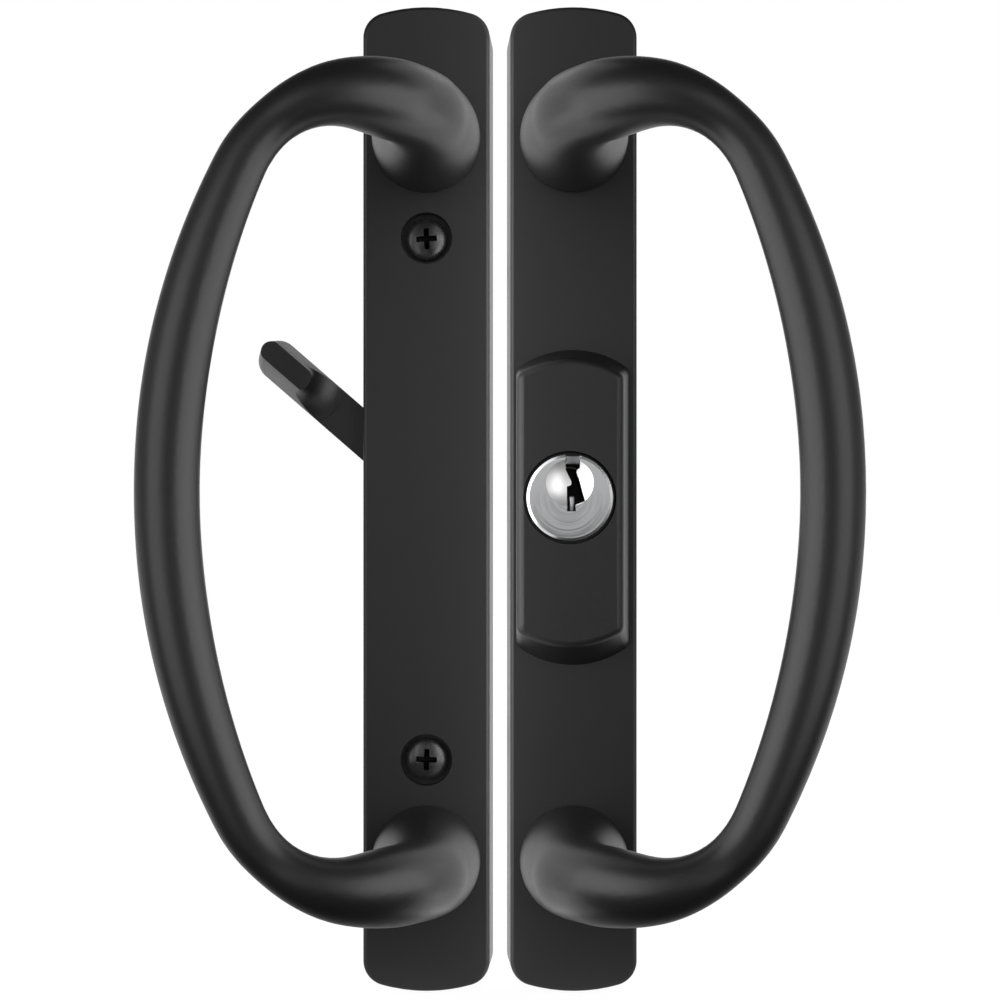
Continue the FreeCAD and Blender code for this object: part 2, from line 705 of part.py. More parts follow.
def through_screws():
    """Two pan-headed screws that run through the door, plain near the head and then threaded."""
    thread_end = screw_seat - s.through_length
    thread_start = thread_end + s.through_threaded
    crown_low = screw_seat + s.through_rim
    radius = s.through_head / 2
    pieces = []
    for i, z in enumerate(both_ends(s.screw_spacing)):
        label = f"through_screw_{i}"
        thread = rod(f"{label}_thread", s.through_thread / 2, thread_end, thread_start, ZERO, z)
        shank = rod(f"{label}_shank", s.through_shank / 2, thread_start, screw_seat, ZERO, z)
        rim = rod(f"{label}_rim", radius, screw_seat, crown_low, ZERO, z)
        crown = cone(
            f"{label}_crown", radius, radius * s.crown_share, crown_low, crown_low + s.through_crown, ZERO, z
        )
        pieces.append(fuse(label, [thread, shank, rim, crown]))
    return group("through_screws", pieces)


def inner_screw(label, seat, shank, length, head, head_height, x, z):
    """A pan-headed screw put in from the door side, with its head behind its seat."""
    rim_low = seat - head_height / 2
    shaft = rod(f"{label}_shank", shank / 2, seat, seat + length, x, z)
    rim = rod(f"{label}_rim", head / 2, rim_low, seat, x, z)
    crown = cone(f"{label}_crown", head / 3, head / 2, seat - head_height, rim_low, x, z)
    return fuse(label, [shaft, rim, crown])


def pull_screws(label, x):
    length = s.plate_depth - pull_back + s.pull_engage
    pieces = [
        inner_screw(
            f"{label}_{i}", pull_back, s.pull_shank, length, s.pull_head, s.pull_head_height, x, z
        )
        for i, z in enumerate(both_ends(s.post_spacing))
    ]
    return group(label, pieces)


def small_screws(label, seat, x, places):
    pieces = [
        inner_screw(
            f"{label}_{i}", seat, s.small_shank, s.small_length, s.small_head, s.small_head_height, x, z
        )
        for i, z in enumerate(places)
    ]
    return group(label, pieces)


def thumb_lever():
    """A flat arm with a raised thumb tab, on a hub with two journals."""
    body = new_body("thumb_lever")
    tip_round = s.lever_width / 2
    arm = new_sketch(body, s.lever_low)
    add_slot(arm, -(s.lever_reach - tip_round), ZERO, s.lever_rise, s.lever_width)
    pad_front(body, arm, s.arm_thickness)
    hub = new_sketch(body, s.lever_low)
    add_circle(hub, ZERO, ZERO, hub_radius * 2)
    pad_front(body, hub, s.arm_thickness)
    # The tab narrows from the arm to its flat top, and both outlines end in a bow at the run-up
    tip = -s.lever_reach
    run_start = -(s.lever_reach - s.tab_length)
    run_bow = s.tab_run + s.tab_bow
    root = new_sketch(body, arm_top)
    add_tongue(root, tip, run_start, s.lever_rise, s.lever_width, run_bow)
    flat = new_sketch(body, arm_top + s.tab_height)
    add_tongue(flat, tip + s.tab_inset, run_start, s.lever_rise + s.tab_offset, s.tab_width, run_bow)
    tab = body.newObject("PartDesign::AdditiveLoft", "thumb_tab")
    tab.Profile = root
    tab.Sections = [flat]
    tab.Ruled = True
    doc.recompute()
    # The hollow run-up is part of a ring: it leaves a small step level and meets the flat top
    climb = s.tab_height - s.tab_step
    sweep = (s.tab_run * s.tab_run + climb * climb) / (climb * 2)
    before = volume_of(body)
    ring = body.newObject("PartDesign::SubtractiveTorus", "run_up")
    bind(ring, "Radius1", run_bow)
    bind(ring, "Radius2", sweep)
    ring.Angle3 = 180
    ring.Placement = FreeCAD.Placement(V(), FreeCAD.Rotation(V(0, 0, -1), V(1, 0, 0), V(0, -1, 0), "XYZ"))
    place(ring, run_start - run_bow, -(arm_top + s.tab_step + sweep), s.lever_rise)
    doc.recompute()
    if body.Shape.Volume >= before:
        raise ValueError("the run-up to the thumb tab removed nothing")
    front = new_sketch(body, arm_top)
    add_circle(front, ZERO, ZERO, s.journal_radius * 2)
    pad_front(body, front, bush_end - arm_top - s.face_gap)
    back = new_sketch(body, retainer_back - s.journal_spare)
    add_circle(back, ZERO, ZERO, s.journal_radius * 2)
    pad_front(body, back, s.lever_low - retainer_back + s.journal_spare + s.face_gap)
    slot = new_sketch(body)
    half_x = s.tail_thickness / 2 + s.thread_gap
    half_z = s.tail_width / 2 + s.thread_gap
    add_rectangle(slot, -half_x, half_x, -half_z, half_z)
    pocket_front(body, slot, retainer_back + s.tail_grip)
    add_cross_pin(body, "Pocket", s.tail_pin + s.thread_gap * 2, hub_radius * 2 + s.tail_pin)
    turn_with_lever(body)
    return body


def add_slot(sketch, left, right, z, width):
    """A level outline with round ends, between two centres."""
    radius = width / 2
    up = V(0, 0, 1)
    quarter = math.pi / 2
    r = radius.value
    left_mid = V(left.value, z.value, 0)
    right_mid = V(right.value, z.value, 0)
    pieces = (
        Part.LineSegment(left_mid + V(0, -r, 0), right_mid + V(0, -r, 0)),
        Part.ArcOfCircle(Part.Circle(right_mid, up, r), -quarter, quarter),
        Part.LineSegment(right_mid + V(0, r, 0), left_mid + V(0, r, 0)),
        Part.ArcOfCircle(Part.Circle(left_mid, up, r), quarter, 3 * quarter),
    )
    low, arc_r, high, arc_l = [sketch.addGeometry(p, False) for p in pieces]
    for first, second in ((low, arc_r), (arc_r, high), (high, arc_l), (arc_l, low)):
        sketch.addConstraint(Sketcher.Constraint("Tangent", first, 2, second, 1))
    sketch.addConstraint(Sketcher.Constraint("Equal", arc_r, arc_l))
    fix(sketch, "DistanceX", -1, 1, arc_r, 3, size=right)
    fix(sketch, "DistanceX", -1, 1, arc_l, 3, size=left)
    fix(sketch, "DistanceY", -1, 1, arc_r, 3, size=z)
    fix(sketch, "DistanceY", -1, 1, arc_l, 3, size=z)
    fix(sketch, "Radius", arc_r, size=radius)


def add_tongue(sketch, tip, end, z, width, bow):
    """A level outline with a round tip at its left and a bowed end at its right."""
    r = width.value / 2
    b = bow.value
    up = V(0, 0, 1)
    quarter = math.pi / 2
    half = math.asin(r / b)
    tip_mid = V(tip.value + r, z.value, 0)
    end_mid = V(end.value - b, z.value, 0)
    corner = V(b * math.cos(half), r, 0)
    low_corner = V(corner.x, -r, 0)
    pieces = (
        Part.LineSegment(tip_mid + V(0, -r, 0), end_mid + low_corner),
        Part.ArcOfCircle(Part.Circle(end_mid, up, b), -half, half),
        Part.LineSegment(end_mid + corner, tip_mid + V(0, r, 0)),
        Part.ArcOfCircle(Part.Circle(tip_mid, up, r), quarter, 3 * quarter),
    )
    low, arc_r, high, arc_l = [sketch.addGeometry(p, False) for p in pieces]
    for kind, first, second in (
        ("Coincident", low, arc_r),
        ("Coincident", arc_r, high),
        ("Tangent", high, arc_l),
        ("Tangent", arc_l, low),
    ):
        sketch.addConstraint(Sketcher.Constraint(kind, first, 2, second, 1))
    sketch.addConstraint(Sketcher.Constraint("Horizontal", low))
    sketch.addConstraint(Sketcher.Constraint("Horizontal", high))
    fix(sketch, "DistanceX", -1, 1, arc_l, 3, size=tip + width / 2)
    fix(sketch, "DistanceY", -1, 1, arc_l, 3, size=z)
    fix(sketch, "Radius", arc_l, size=width / 2)
    fix(sketch, "DistanceX", -1, 1, arc_r, 3, size=end - bow)
    fix(sketch, "DistanceY", -1, 1, arc_r, 3, size=z)
    fix(sketch, "Radius", arc_r, size=bow)


def lever_bush():
    axis = s.spindle_offset
    inner = s.journal_radius + s.running_gap
    outer = inner + s.bush_wall
    sleeve = rod("bush_sleeve", outer, bush_seat, bush_end, axis)
    flange = rod("bush_flange", outer + s.bush_wall, bush_seat - s.bush_flange, bush_seat, axis)
    bore = rod("bush_bore", inner, ZERO, s.plate_depth, axis)
    return cut("lever_bush", fuse("bush_whole", [sleeve, flange]), [bore])


def lever_spring_washer():
    """A coned washer that presses the lever forwards and holds it where it is put."""
    axis = s.spindle_offset
    bore = s.journal_radius + s.running_gap * 4
    outer = cone(
        "washer_outside", s.washer_radius, bore + s.washer_sheet, retainer_front, s.lever_low, axis
    )
    inner = cone(
        "washer_inside",
        s.washer_radius - s.washer_sheet,
        bore,
        retainer_front,
        s.lever_low - s.washer_sheet,
        axis,
    )
    hole = rod("washer_hole", bore, ZERO, s.plate_depth, axis)
    return cut("lever_spring_washer", outer, [inner, hole])


def lever_retainer():
    body = new_body("lever_retainer")
    outline = new_sketch(body, retainer_back)
    half = s.retainer_spacing / 2 + sheet_end
    add_arched(outline, ZERO, sheet_width, -half, half, sheet_width * s.sheet_arch)
    pad_front(body, outline, s.plate_sheet)
    hole = (s.journal_radius + s.running_gap) * 2
    add_holes(body, retainer_back, retainer_front, hole, (ZERO,))
    clear = s.small_shank + s.shank_gap * 2
    add_holes(body, retainer_back, retainer_front, clear, both_ends(s.retainer_spacing))
    bind(body, "Placement.Base.x", s.spindle_offset)
    return body


def oblong_bar(label, x_size, z_size, low, high):
    """A straight bar of oblong section, square to the door."""
    body = new_body(label)
    outline = new_sketch(body, low)
    add_rectangle(outline, -(x_size / 2), x_size / 2, -(z_size / 2), z_size / 2)
    pad_front(body, outline, high - low)
    return body


def lever_tailpiece():
    body = oblong_bar(
        "lever_tailpiece",
        s.tail_thickness,
        s.tail_width,
        -s.tail_reach,
        retainer_back + s.tail_grip - s.thread_gap,
    )
    add_cross_pin(body, "Pocket", s.tail_pin + s.thread_gap * 2, s.tail_thickness * 2)
    turn_with_lever(body)
    return body


def add_cross_pin(body, kind, diameter, length):
    """A round pin, or the hole for one, across the lever's axis."""
    before = volume_of(body)
    outline = new_sketch(body, ZERO, "YZ_Plane")
    add_circle(outline, -tail_pin_height, ZERO, diameter)
    feature = body.newObject(f"PartDesign::{kind}", f"{body.Name}_cross_pin")
    feature.Profile = outline
    feature.Midplane = True
    bind(feature, "Length", length)
    doc.recompute()
    if (body.Shape.Volume > before) != (kind == "Pad"):
        raise ValueError(f"{body.Label} has no cross pin")


def turn_with_lever(item):
    item.Placement = FreeCAD.Placement(V(), FreeCAD.Rotation(V(0, 1, 0), 1))
    bind(item, "Placement.Rotation.Angle", s.lever_angle)
    bind(item, "Placement.Base.x", s.spindle_offset)


def tailpiece_pin():
    body = new_body("tailpiece_pin")
    add_cross_pin(body, "Pad", s.tail_pin, (hub_radius - s.lever_gap) * 2)
    turn_with_lever(body)
    return body


def mounting_posts():
    pieces = []
    for i, z in enumerate(both_ends(s.screw_spacing)):
        end = -s.post_reach
        x = s.set_spacing
        post = rod(f"post_{i}", s.post_radius, end, s.post_seat, x, z)
        spigot = rod(f"spigot_{i}", s.post_spigot / 2, s.post_seat, floor - s.face_gap, x, z)
        bore = rod(f"tapped_{i}", s.post_bore / 2, end, s.post_seat, x, z)
        pieces.append(cut(f"mounting_post_{i}", fuse(f"post_whole_{i}", [post, spigot]), [bore]))
    return group("mounting_posts", pieces)


def cylinder_body():
    """The lock cylinder: a round barrel with its pin housing above."""
    body = new_body("cylinder_body")
    barrel = new_sketch(body, bracket_front)
    add_circle(barrel, ZERO, ZERO, s.lock_bore - s.cylinder_gap * 2)
    pad_front(body, barrel, cylinder_front - bracket_front)
    tower = new_sketch(body, bracket_front)
    half = s.tower_width / 2
    add_rectangle(tower, -half, half, ZERO, s.tower_top)
    tower_front = boss_front - s.tower_skin
    pad_front(body, tower, tower_front - bracket_front)
    bore = s.plug_barrel + s.running_gap * 2
    add_holes(body, bracket_front, cylinder_front, bore, (ZERO,))
    bind(body, "Placement.Base.x", outside_axis)
    return body


def key_plug():
    """The turning plug: a bevelled face with a dimple and a warded keyway."""
    body = new_body("key_plug")
    clip_high = bracket_front - s.face_gap / 2
    clip_low = clip_high - s.clip_sheet - s.face_gap / 2
    for low, high, size in (
        (plug_back, plug_front, s.plug_face),
        (clip_high, plug_back, s.plug_barrel),
        (clip_low, clip_high, s.plug_neck),
        (plug_end, clip_low, s.plug_barrel),
    ):
        disc = new_sketch(body, low)
        add_circle(disc, ZERO, ZERO, size)
        pad_front(body, disc, high - low)
    dress(body, "Chamfer", "Size", s.plug_bevel, lambda e: flat_at(e, plug_front))
    ball = body.newObject("PartDesign::SubtractiveSphere", "dimple")
    rim = s.dimple_radius
    depth = s.dimple_depth
    bind(ball, "Radius", (rim * rim + depth * depth) / (depth * 2))
    ball_height = plug_front - depth + (rim * rim + depth * depth) / (depth * 2)
    ball.Placement = FreeCAD.Placement(V(0, -ball_height.value, s.dimple_rise.value), FreeCAD.Rotation())
    bind(ball, "Placement.Base.y", -ball_height)
    bind(ball, "Placement.Base.z", s.dimple_rise)
    doc.recompute()
    keyway = new_sketch(body, plug_front)
    add_keyway(keyway)
    pocket_back(body, keyway, plug_front - clip_high - s.tail_grip - s.face_gap)
    slot = new_sketch(body, plug_end)
    half_x = s.tail_thickness / 2 + s.thread_gap
    half_z = s.tail_width / 2 + s.thread_gap
    add_rectangle(slot, -half_x, half_x, -half_z, half_z)
    pocket_front(body, slot, s.tail_grip)
    bind(body, "Placement.Base.x", outside_axis)
    return body


def add_keyway(sketch):
    """A keyway that opens at the rim, steps from side to side and ends in a narrow foot."""
    left = s.keyway_offset.value - s.keyway_width.value / 2
    right = s.keyway_offset.value + s.keyway_width.value / 2
    slot = s.keyway_slot.value
    left_ward = left + s.keyway_ward.value
    right_ward = right - s.keyway_neck.value
    lobe = right + s.keyway_lobe.value
    rim = s.plug_face.value / 2
    foot = -s.keyway_foot.value
    rise = rim - foot
    foot_left = left + (s.keyway_width.value - slot) / 4
    points = [
        V(left, rim + 1, 0),
        V(left, foot + rise * 0.74, 0),
        V(left_ward, foot + rise * 0.53, 0),
        V(left_ward, foot + rise * 0.46, 0),
        V(foot_left, foot + rise * 0.44, 0),
        V(foot_left, foot, 0),
        V(foot_left + slot, foot, 0),
        V(foot_left + slot, foot + rise * 0.12, 0),
        V(lobe, foot + rise * 0.18, 0),
        V(right, foot + rise * 0.53, 0),
        V(right_ward, foot + rise * 0.66, 0),
        V(right_ward, foot + rise * 0.72, 0),
        V(right, foot + rise * 0.77, 0),
        V(right, rim + 1, 0),
    ]
    for i, point in enumerate(points):
        sketch.addGeometry(Part.LineSegment(point, points[(i + 1) % len(points)]), False)


def plug_clip():
    """A spring clip, open at one side, in the plug's groove behind the cylinder."""
    high = bracket_front - s.face_gap / 2
    low = high - s.clip_sheet
    x = outside_axis
    ring = rod("clip_ring", s.clip_radius, low, high, x)
    bore = rod("clip_bore", s.plug_neck / 2 + s.thread_gap, ZERO, s.plate_depth, x)
    gap = bar("clip_gap", s.plug_neck * 0.7, s.clip_radius, low, high, x, -s.clip_radius)
    return cut("plug_clip", ring, [bore, gap])


def cylinder_tailpiece():
    bar_low = -s.tail_reach
    seat = plug_end + s.tail_grip - s.thread_gap
    item = bar("cylinder_tailpiece", s.tail_thickness, s.tail_width, bar_low, seat, outside_axis)
    item.Label = "cylinder_tailpiece"
    return item


def cylinder_bracket():
    body = new_body("cylinder_bracket")
    outline = new_sketch(body, bracket_back)
    high = s.bracket_high + sheet_end
    low = -(s.bracket_low + sheet_end)
    add_arched(outline, ZERO, sheet_width, low, high, sheet_width * s.sheet_arch)
    pad_front(body, outline, s.plate_sheet)
    add_holes(body, bracket_back, bracket_front, (s.clip_radius + s.shank_gap) * 2, (ZERO,))
    clear = s.small_shank + s.shank_gap * 2
    add_holes(body, bracket_back, bracket_front, clear, (s.bracket_high, -s.bracket_low))
    bind(body, "Placement.Base.x", outside_axis)
    return body


def build():
    """Make every piece of both halves, in the order that they are put together."""
    spindle = s.spindle_offset
    return [
        inside_escutcheon(),
        pull("inside_pull", -1, ZERO),
        pull_screws("inside_pull_screws", ZERO),
        thumb_lever(),
        lever_bush(),
        lever_tailpiece(),
        tailpiece_pin(),
        lever_spring_washer(),
        lever_retainer(),
        small_screws("retainer_screws", retainer_back, spindle, both_ends(s.retainer_spacing)),
        through_screws(),
        outside_escutcheon(),
        pull("outside_pull", 1, s.set_spacing),
        pull_screws("outside_pull_screws", s.set_spacing),
        mounting_posts(),
        cylinder_body(),
        key_plug(),
        plug_clip(),
        cylinder_tailpiece(),
        cylinder_bracket(),
        small_screws("bracket_screws", bracket_back, outside_axis, (s.bracket_high, -s.bracket_low)),
    ]


def write(pieces):
    """Check the whole document, then write one file for each piece."""
    doc.recompute()
    for item in doc.Objects:
        if "Invalid" in item.State or "Error" in item.State:
            raise ValueError(f"{item.Label} failed: {item.State}")
    os.makedirs("parts", exist_ok=True)
    for piece in pieces:
        if piece.Shape.isNull() or not piece.Shape.isValid():
            raise ValueError(f"{piece.Label} has no valid shape")
    for piece in pieces:
        piece.Shape.exportStep(f"parts/{piece.Label}.step")
        box = piece.Shape.BoundBox
        print(f"{piece.Label:22s} {piece.Shape.Volume:10.1f} mm3  solids {len(piece.Shape.Solids)}")
        print(f"    X {box.XMin:.2f}..{box.XMax:.2f}")
        print(f"    Y {box.YMin:.2f}..{box.YMax:.2f}")
        print(f"    Z {box.ZMin:.2f}..{box.ZMax:.2f}")


write(build())
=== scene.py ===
"""Looks of the sliding patio door handle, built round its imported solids.

Metres, in the solids' own frame: X to the right, Y into the door, Z up, both backs in the
plane Y = 0. Heads of the through screws face the viewer, who looks along +Y.
"""

import json
import math
from typing import NamedTuple

import bmesh
import bpy
from bpy.props import FloatProperty, FloatVectorProperty, IntProperty, PointerProperty
from mathutils import Matrix, Vector

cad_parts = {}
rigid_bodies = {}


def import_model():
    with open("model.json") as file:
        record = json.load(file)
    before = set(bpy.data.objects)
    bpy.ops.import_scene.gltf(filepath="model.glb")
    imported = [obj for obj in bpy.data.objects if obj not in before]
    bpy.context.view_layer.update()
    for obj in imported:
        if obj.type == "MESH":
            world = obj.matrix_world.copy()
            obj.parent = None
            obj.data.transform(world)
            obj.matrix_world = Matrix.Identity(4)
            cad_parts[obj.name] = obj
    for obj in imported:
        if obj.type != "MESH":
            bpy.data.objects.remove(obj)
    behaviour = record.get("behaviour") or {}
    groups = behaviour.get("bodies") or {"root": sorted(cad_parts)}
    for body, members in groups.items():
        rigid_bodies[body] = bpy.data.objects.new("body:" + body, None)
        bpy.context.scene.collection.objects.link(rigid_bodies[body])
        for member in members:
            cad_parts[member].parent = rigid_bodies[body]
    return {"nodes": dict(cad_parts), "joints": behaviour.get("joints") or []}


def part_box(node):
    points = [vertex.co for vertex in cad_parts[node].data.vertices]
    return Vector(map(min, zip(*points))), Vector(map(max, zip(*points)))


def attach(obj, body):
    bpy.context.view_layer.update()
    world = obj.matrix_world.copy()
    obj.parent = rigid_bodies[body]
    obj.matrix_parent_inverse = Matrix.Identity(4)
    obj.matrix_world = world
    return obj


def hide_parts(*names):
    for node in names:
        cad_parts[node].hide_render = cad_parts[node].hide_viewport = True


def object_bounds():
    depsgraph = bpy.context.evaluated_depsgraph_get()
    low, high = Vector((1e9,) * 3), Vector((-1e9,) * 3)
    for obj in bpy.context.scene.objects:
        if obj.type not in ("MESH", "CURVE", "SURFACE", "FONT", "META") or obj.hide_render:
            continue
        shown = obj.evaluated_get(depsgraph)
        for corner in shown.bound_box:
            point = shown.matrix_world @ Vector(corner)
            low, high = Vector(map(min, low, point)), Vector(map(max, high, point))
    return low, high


bl_info = {
    "name": "Patio door handle",
    "version": (1, 0, 0),
    "blender": (4, 5, 0),
    "location": "View3D > Sidebar > Door handle",
    "description": "Coated castings, screws and lock of a sliding patio door handle",
    "category": "Object",
}

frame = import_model()
CAD_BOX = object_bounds()
MM = 0.001


def joint_axis_x(name):
    """Where a turning piece's axis crosses the door plane."""
    return [j for j in frame["joints"] if j["name"] == name][0]["pos_m"][0]


LOCK_X = joint_axis_x("plug_turn")

# Depths along Y: where the thin coat behind the plates begins, and the through screws' seats
THIN_COAT = (-10.6 * MM, -10.0 * MM)
THROUGH_SEAT = -10.7 * MM

# Through screw: plain shank's radius and length, radii at the thread's root and crest
THROUGH_SHANK = 2.05 * MM
THROUGH_PLAIN = 25 * MM
THROUGH_ROOT = 1.66 * MM
THROUGH_CREST = 2.03 * MM
THROUGH_TURNS = (0.06, -0.04)

# Inner screws: shank's radius and head's height
PULL_SCREW = (2.5 * MM, 3.0 * MM)
SHEET_SCREW = (1.5 * MM, 1.5 * MM)

# Share of a head's radius that is flat on top, and levels of its recess: depth, size
HEAD_FLAT = 0.1
DOME_RINGS = 8
RECESS_LEVELS = ((0.05, 0.93), (0.5, 0.72), (0.62, 0.4))

# Flat on a thread's crest, as shares of the pitch
CREST_START = 0.42
CREST_END = 0.58

# Edges rounded on sheet and bar parts, and on the lever
SHEET_EDGE = 0.15 * MM
LEVER_EDGE = 0.2 * MM

# Key plug: bounds between its finishes and its painted shade and highlight, by distance from the
# axis and by depth; the last bounds the cylinder's front, painted dark as shade
DIMPLE_HEIGHT = 2.8 * MM
DIMPLE_EDGE = (4.4 * MM, 4.5 * MM)
KEYWAY_AT_FACE = (7.3 * MM, 7.45 * MM)
KEYWAY_INSIDE = (6.1 * MM, 6.2 * MM)
FACE_DEPTH = (-20.4 * MM, -20.3 * MM)
KEYWAY_FLOORS = (-21.4 * MM, -21.2 * MM)
KEYWAY_END = (-8.2 * MM, -8.0 * MM)
SHADED_FACE = (-6.5 * MM, 2.0 * MM)
PAINTED_SHADE_FRONT = (-17.2 * MM, -16.6 * MM)

# Key plug: rim that stands before the face, and its rounded edges
PLUG_RIM = 0.28 * MM
PLUG_EDGE = 0.1 * MM

# Room light by direction: level at the first bound, level at the second, the two bounds
ROOM_SIDES = (0.5, 0.36, -0.1, 0.4)
ROOM_BEHIND = (0.0, 1.0, 0.5, 0.8)
ROOM_ABOVE = (1.0, 0.22, 0.3, 0.8)
ROOM_BELOW = (0.06, 1.0, -0.65, -0.15)
ROOM_BACKDROP = (0, 1, 0.45, 0.85)
FLOOR_BACKDROP = (0, 1, -0.06, 0.0)
FLOOR_GREY = (0.28, 0.28, 0.28)
FLOOR_GLOW = 0.96

# Lamps of a half, from the set's middle: places across and before the door, widths, height
NEAR_LAMP = (0.163, -0.191, 0.17)
FAR_LAMP = (-0.148, -0.133, 0.26)
CARD = (0.0, -0.027, 0.054)
LAMP_HEIGHT = 0.26
LAMP_AIM = (0.035, -0.04)


class HandleFinish(bpy.types.PropertyGroup):
    """Colours and surface of the coat and the metals."""

    coat_colour: FloatVectorProperty(
        name="Coat", description="Satin black powder coat", subtype="COLOR", size=3,
        min=0, max=1, default=(0.0048, 0.0048, 0.005),
    )
    coat_roughness: FloatProperty(
        name="Coat roughness", description="Satin of the coat", subtype="FACTOR",
        min=0, max=1, default=0.4,
    )
    casting_colour: FloatVectorProperty(
        name="Bare casting", description="Zinc where the coat is thin, behind the plates",
        subtype="COLOR", size=3, min=0, max=1, default=(0.23, 0.235, 0.245),
    )
    black_steel: FloatVectorProperty(
        name="Blackened steel", description="Through screws", subtype="COLOR", size=3,
        min=0, max=1, default=(0.012, 0.012, 0.013),
    )
    zinc_plate: FloatVectorProperty(
        name="Zinc plate", description="Inner screws, bars, posts and sheet parts",
        subtype="COLOR", size=3, min=0, max=1, default=(0.60, 0.62, 0.65),
    )
    spring_steel: FloatVectorProperty(
        name="Spring steel", description="Spring washer and clip", subtype="COLOR", size=3,
        min=0, max=1, default=(0.30, 0.305, 0.32),
    )
    brass: FloatVectorProperty(
        name="Brass", description="Lock cylinder", subtype="COLOR", size=3,
        min=0, max=1, default=(0.66, 0.47, 0.20),
    )
    chrome: FloatVectorProperty(
        name="Chrome", description="Key plug's face", subtype="COLOR", size=3,
        min=0, max=1, default=(0.86, 0.87, 0.88),
    )
    # Painted shade: this dark colour fills the cylinder's front, the keyway's inside and the
    # screws' cross recesses
    painted_shade_colour: FloatVectorProperty(
        name="Dark metal", description="Cylinder's front and the inside of the keyway",
        subtype="COLOR", size=3, min=0, max=1, default=(0.012, 0.0115, 0.011),
    )
    nylon: FloatVectorProperty(
        name="Nylon", description="Lever's bush", subtype="COLOR", size=3,
        min=0, max=1, default=(0.78, 0.76, 0.70),
    )


class HandleScrews(bpy.types.PropertyGroup):
    """Cross recess and thread of the screws."""

    recess_reach: FloatProperty(
        name="Recess reach", description="Cross recess from tip to tip, as a share of the head",
        subtype="FACTOR", min=0.2, max=0.8, default=0.54,
    )
    recess_width: FloatProperty(
        name="Recess width", description="One wing of the recess, as a share of the head",
        subtype="FACTOR", min=0.05, max=0.3, default=0.135,
    )
    through_pitch: FloatProperty(
        name="Through pitch", description="Thread of a through screw", unit="LENGTH",
        min=0.0003, max=0.002, default=0.0008, precision=5,
    )
    inner_pitch: FloatProperty(
        name="Inner pitch", description="Thread of an inner screw", unit="LENGTH",
        min=0.0003, max=0.002, default=0.0007, precision=5,
    )
    turns_round: IntProperty(
        name="Sides", description="Sections round a thread", min=12, max=64, default=24,
    )


class HandleStage(bpy.types.PropertyGroup):
    """Camera, lamps and floor."""

    camera_place: FloatVectorProperty(
        name="Camera", description="Where the camera stands", subtype="TRANSLATION", size=3,
        unit="LENGTH", default=(0.0141, -0.434, -0.01245),
    )
    frame_width: FloatProperty(
        name="Frame width", description="Width of the picture at the plates' fronts",
        unit="LENGTH", default=0.1916, precision=4,
    )
    plate_front: FloatProperty(
        name="Plate front", description="Plates' fronts before the door plane", unit="LENGTH",
        default=0.014, precision=4,
    )
    frame_shift: FloatProperty(
        name="Frame shift", description="Camera's sideways shift upwards", default=0.064,
    )
    card_power: FloatProperty(
        name="White card", description="Card between the halves, lit for each half alone",
        unit="POWER", default=0.034,
    )
    near_power: FloatProperty(
        name="Near lamp", description="Lamp on a half's own side", unit="POWER", default=0.24,
    )
    far_power: FloatProperty(
        name="Far lamp", description="Lamp across from a half", unit="POWER", default=0.5,
    )


def finish():
    return bpy.context.scene.handle_finish


def screws():
    return bpy.context.scene.handle_screws


def new_material(name, colour, metallic=0.0, roughness=0.4, specular=0.5):
    """A material with one Principled shader, ready for its patterns."""
    material = bpy.data.materials.new(name)
    material.use_nodes = True
    shader = material.node_tree.nodes["Principled BSDF"]
    shader.inputs["Base Color"].default_value = (*colour, 1)
    shader.inputs["Metallic"].default_value = metallic
    shader.inputs["Roughness"].default_value = roughness
    shader.inputs["Specular IOR Level"].default_value = specular
    return material, shader


class Tree:
    """Short ways to add nodes to a material and join them."""

    def __init__(self, material):
        self.nodes = material.node_tree.nodes
        self.links = material.node_tree.links

    def add(self, kind, links=None, **settings):
        node = self.nodes.new(kind)
        for key, value in settings.items():
            setattr(node, key, value)
        for key, source in (links or {}).items():
            self.links.new(source, node.inputs[key])
        return node

    def join(self, source, target):
        self.links.new(source, target)

    def object_place(self):
        return self.add("ShaderNodeTexCoord").outputs["Object"]

    def noise(self, place, scale, detail=2.0, roughness=0.5):
        node = self.add("ShaderNodeTexNoise", {"Vector": place})
        node.inputs["Scale"].default_value = scale
        node.inputs["Detail"].default_value = detail
        node.inputs["Roughness"].default_value = roughness
        return node.outputs["Fac"]

    def spread(self, value, low, high, start=0.3, end=0.7):
        """A value between two others, from a pattern."""
        node = self.add("ShaderNodeMapRange", {"Value": value})
        node.inputs["From Min"].default_value = start
        node.inputs["From Max"].default_value = end
        node.inputs["To Min"].default_value = low
        node.inputs["To Max"].default_value = high
        return node.outputs["Result"]

    def math(self, operation, first, second=None, third=None):
        node = self.add("ShaderNodeMath", operation=operation)
        for socket, value in zip(node.inputs, (first, second, third)):
            if value is None:
                continue
            if isinstance(value, (int, float)):
                socket.default_value = value
            else:
                self.links.new(value, socket)
        return node.outputs[0]

    def shades(self, factor, dark, light):
        """A colour between two others, from a pattern."""
        ramp = self.add("ShaderNodeValToRGB", {"Fac": factor})
        ramp.color_ramp.elements[0].color = (*dark, 1)
        ramp.color_ramp.elements[1].color = (*light, 1)
        return ramp.outputs["Color"]

    def mix(self, factor, first, second):
        """A colour between two others, each a socket or a plain colour."""
        node = self.add("ShaderNodeMix", {"Factor": factor}, data_type="RGBA")
        for socket, colour in zip((node.inputs[6], node.inputs[7]), (first, second)):
            if isinstance(colour, bpy.types.NodeSocket):
                self.links.new(colour, socket)
            else:
                socket.default_value = (*colour, 1)
        return node.outputs[2]

    def bump(self, height, distance, under=None):
        node = self.add("ShaderNodeBump", {"Height": height})
        node.inputs["Distance"].default_value = distance
        if under is not None:
            self.links.new(under, node.inputs["Normal"])
        return node.outputs["Normal"]


def scaled(colour, factor):
    return tuple(min(1.0, c * factor) for c in colour)


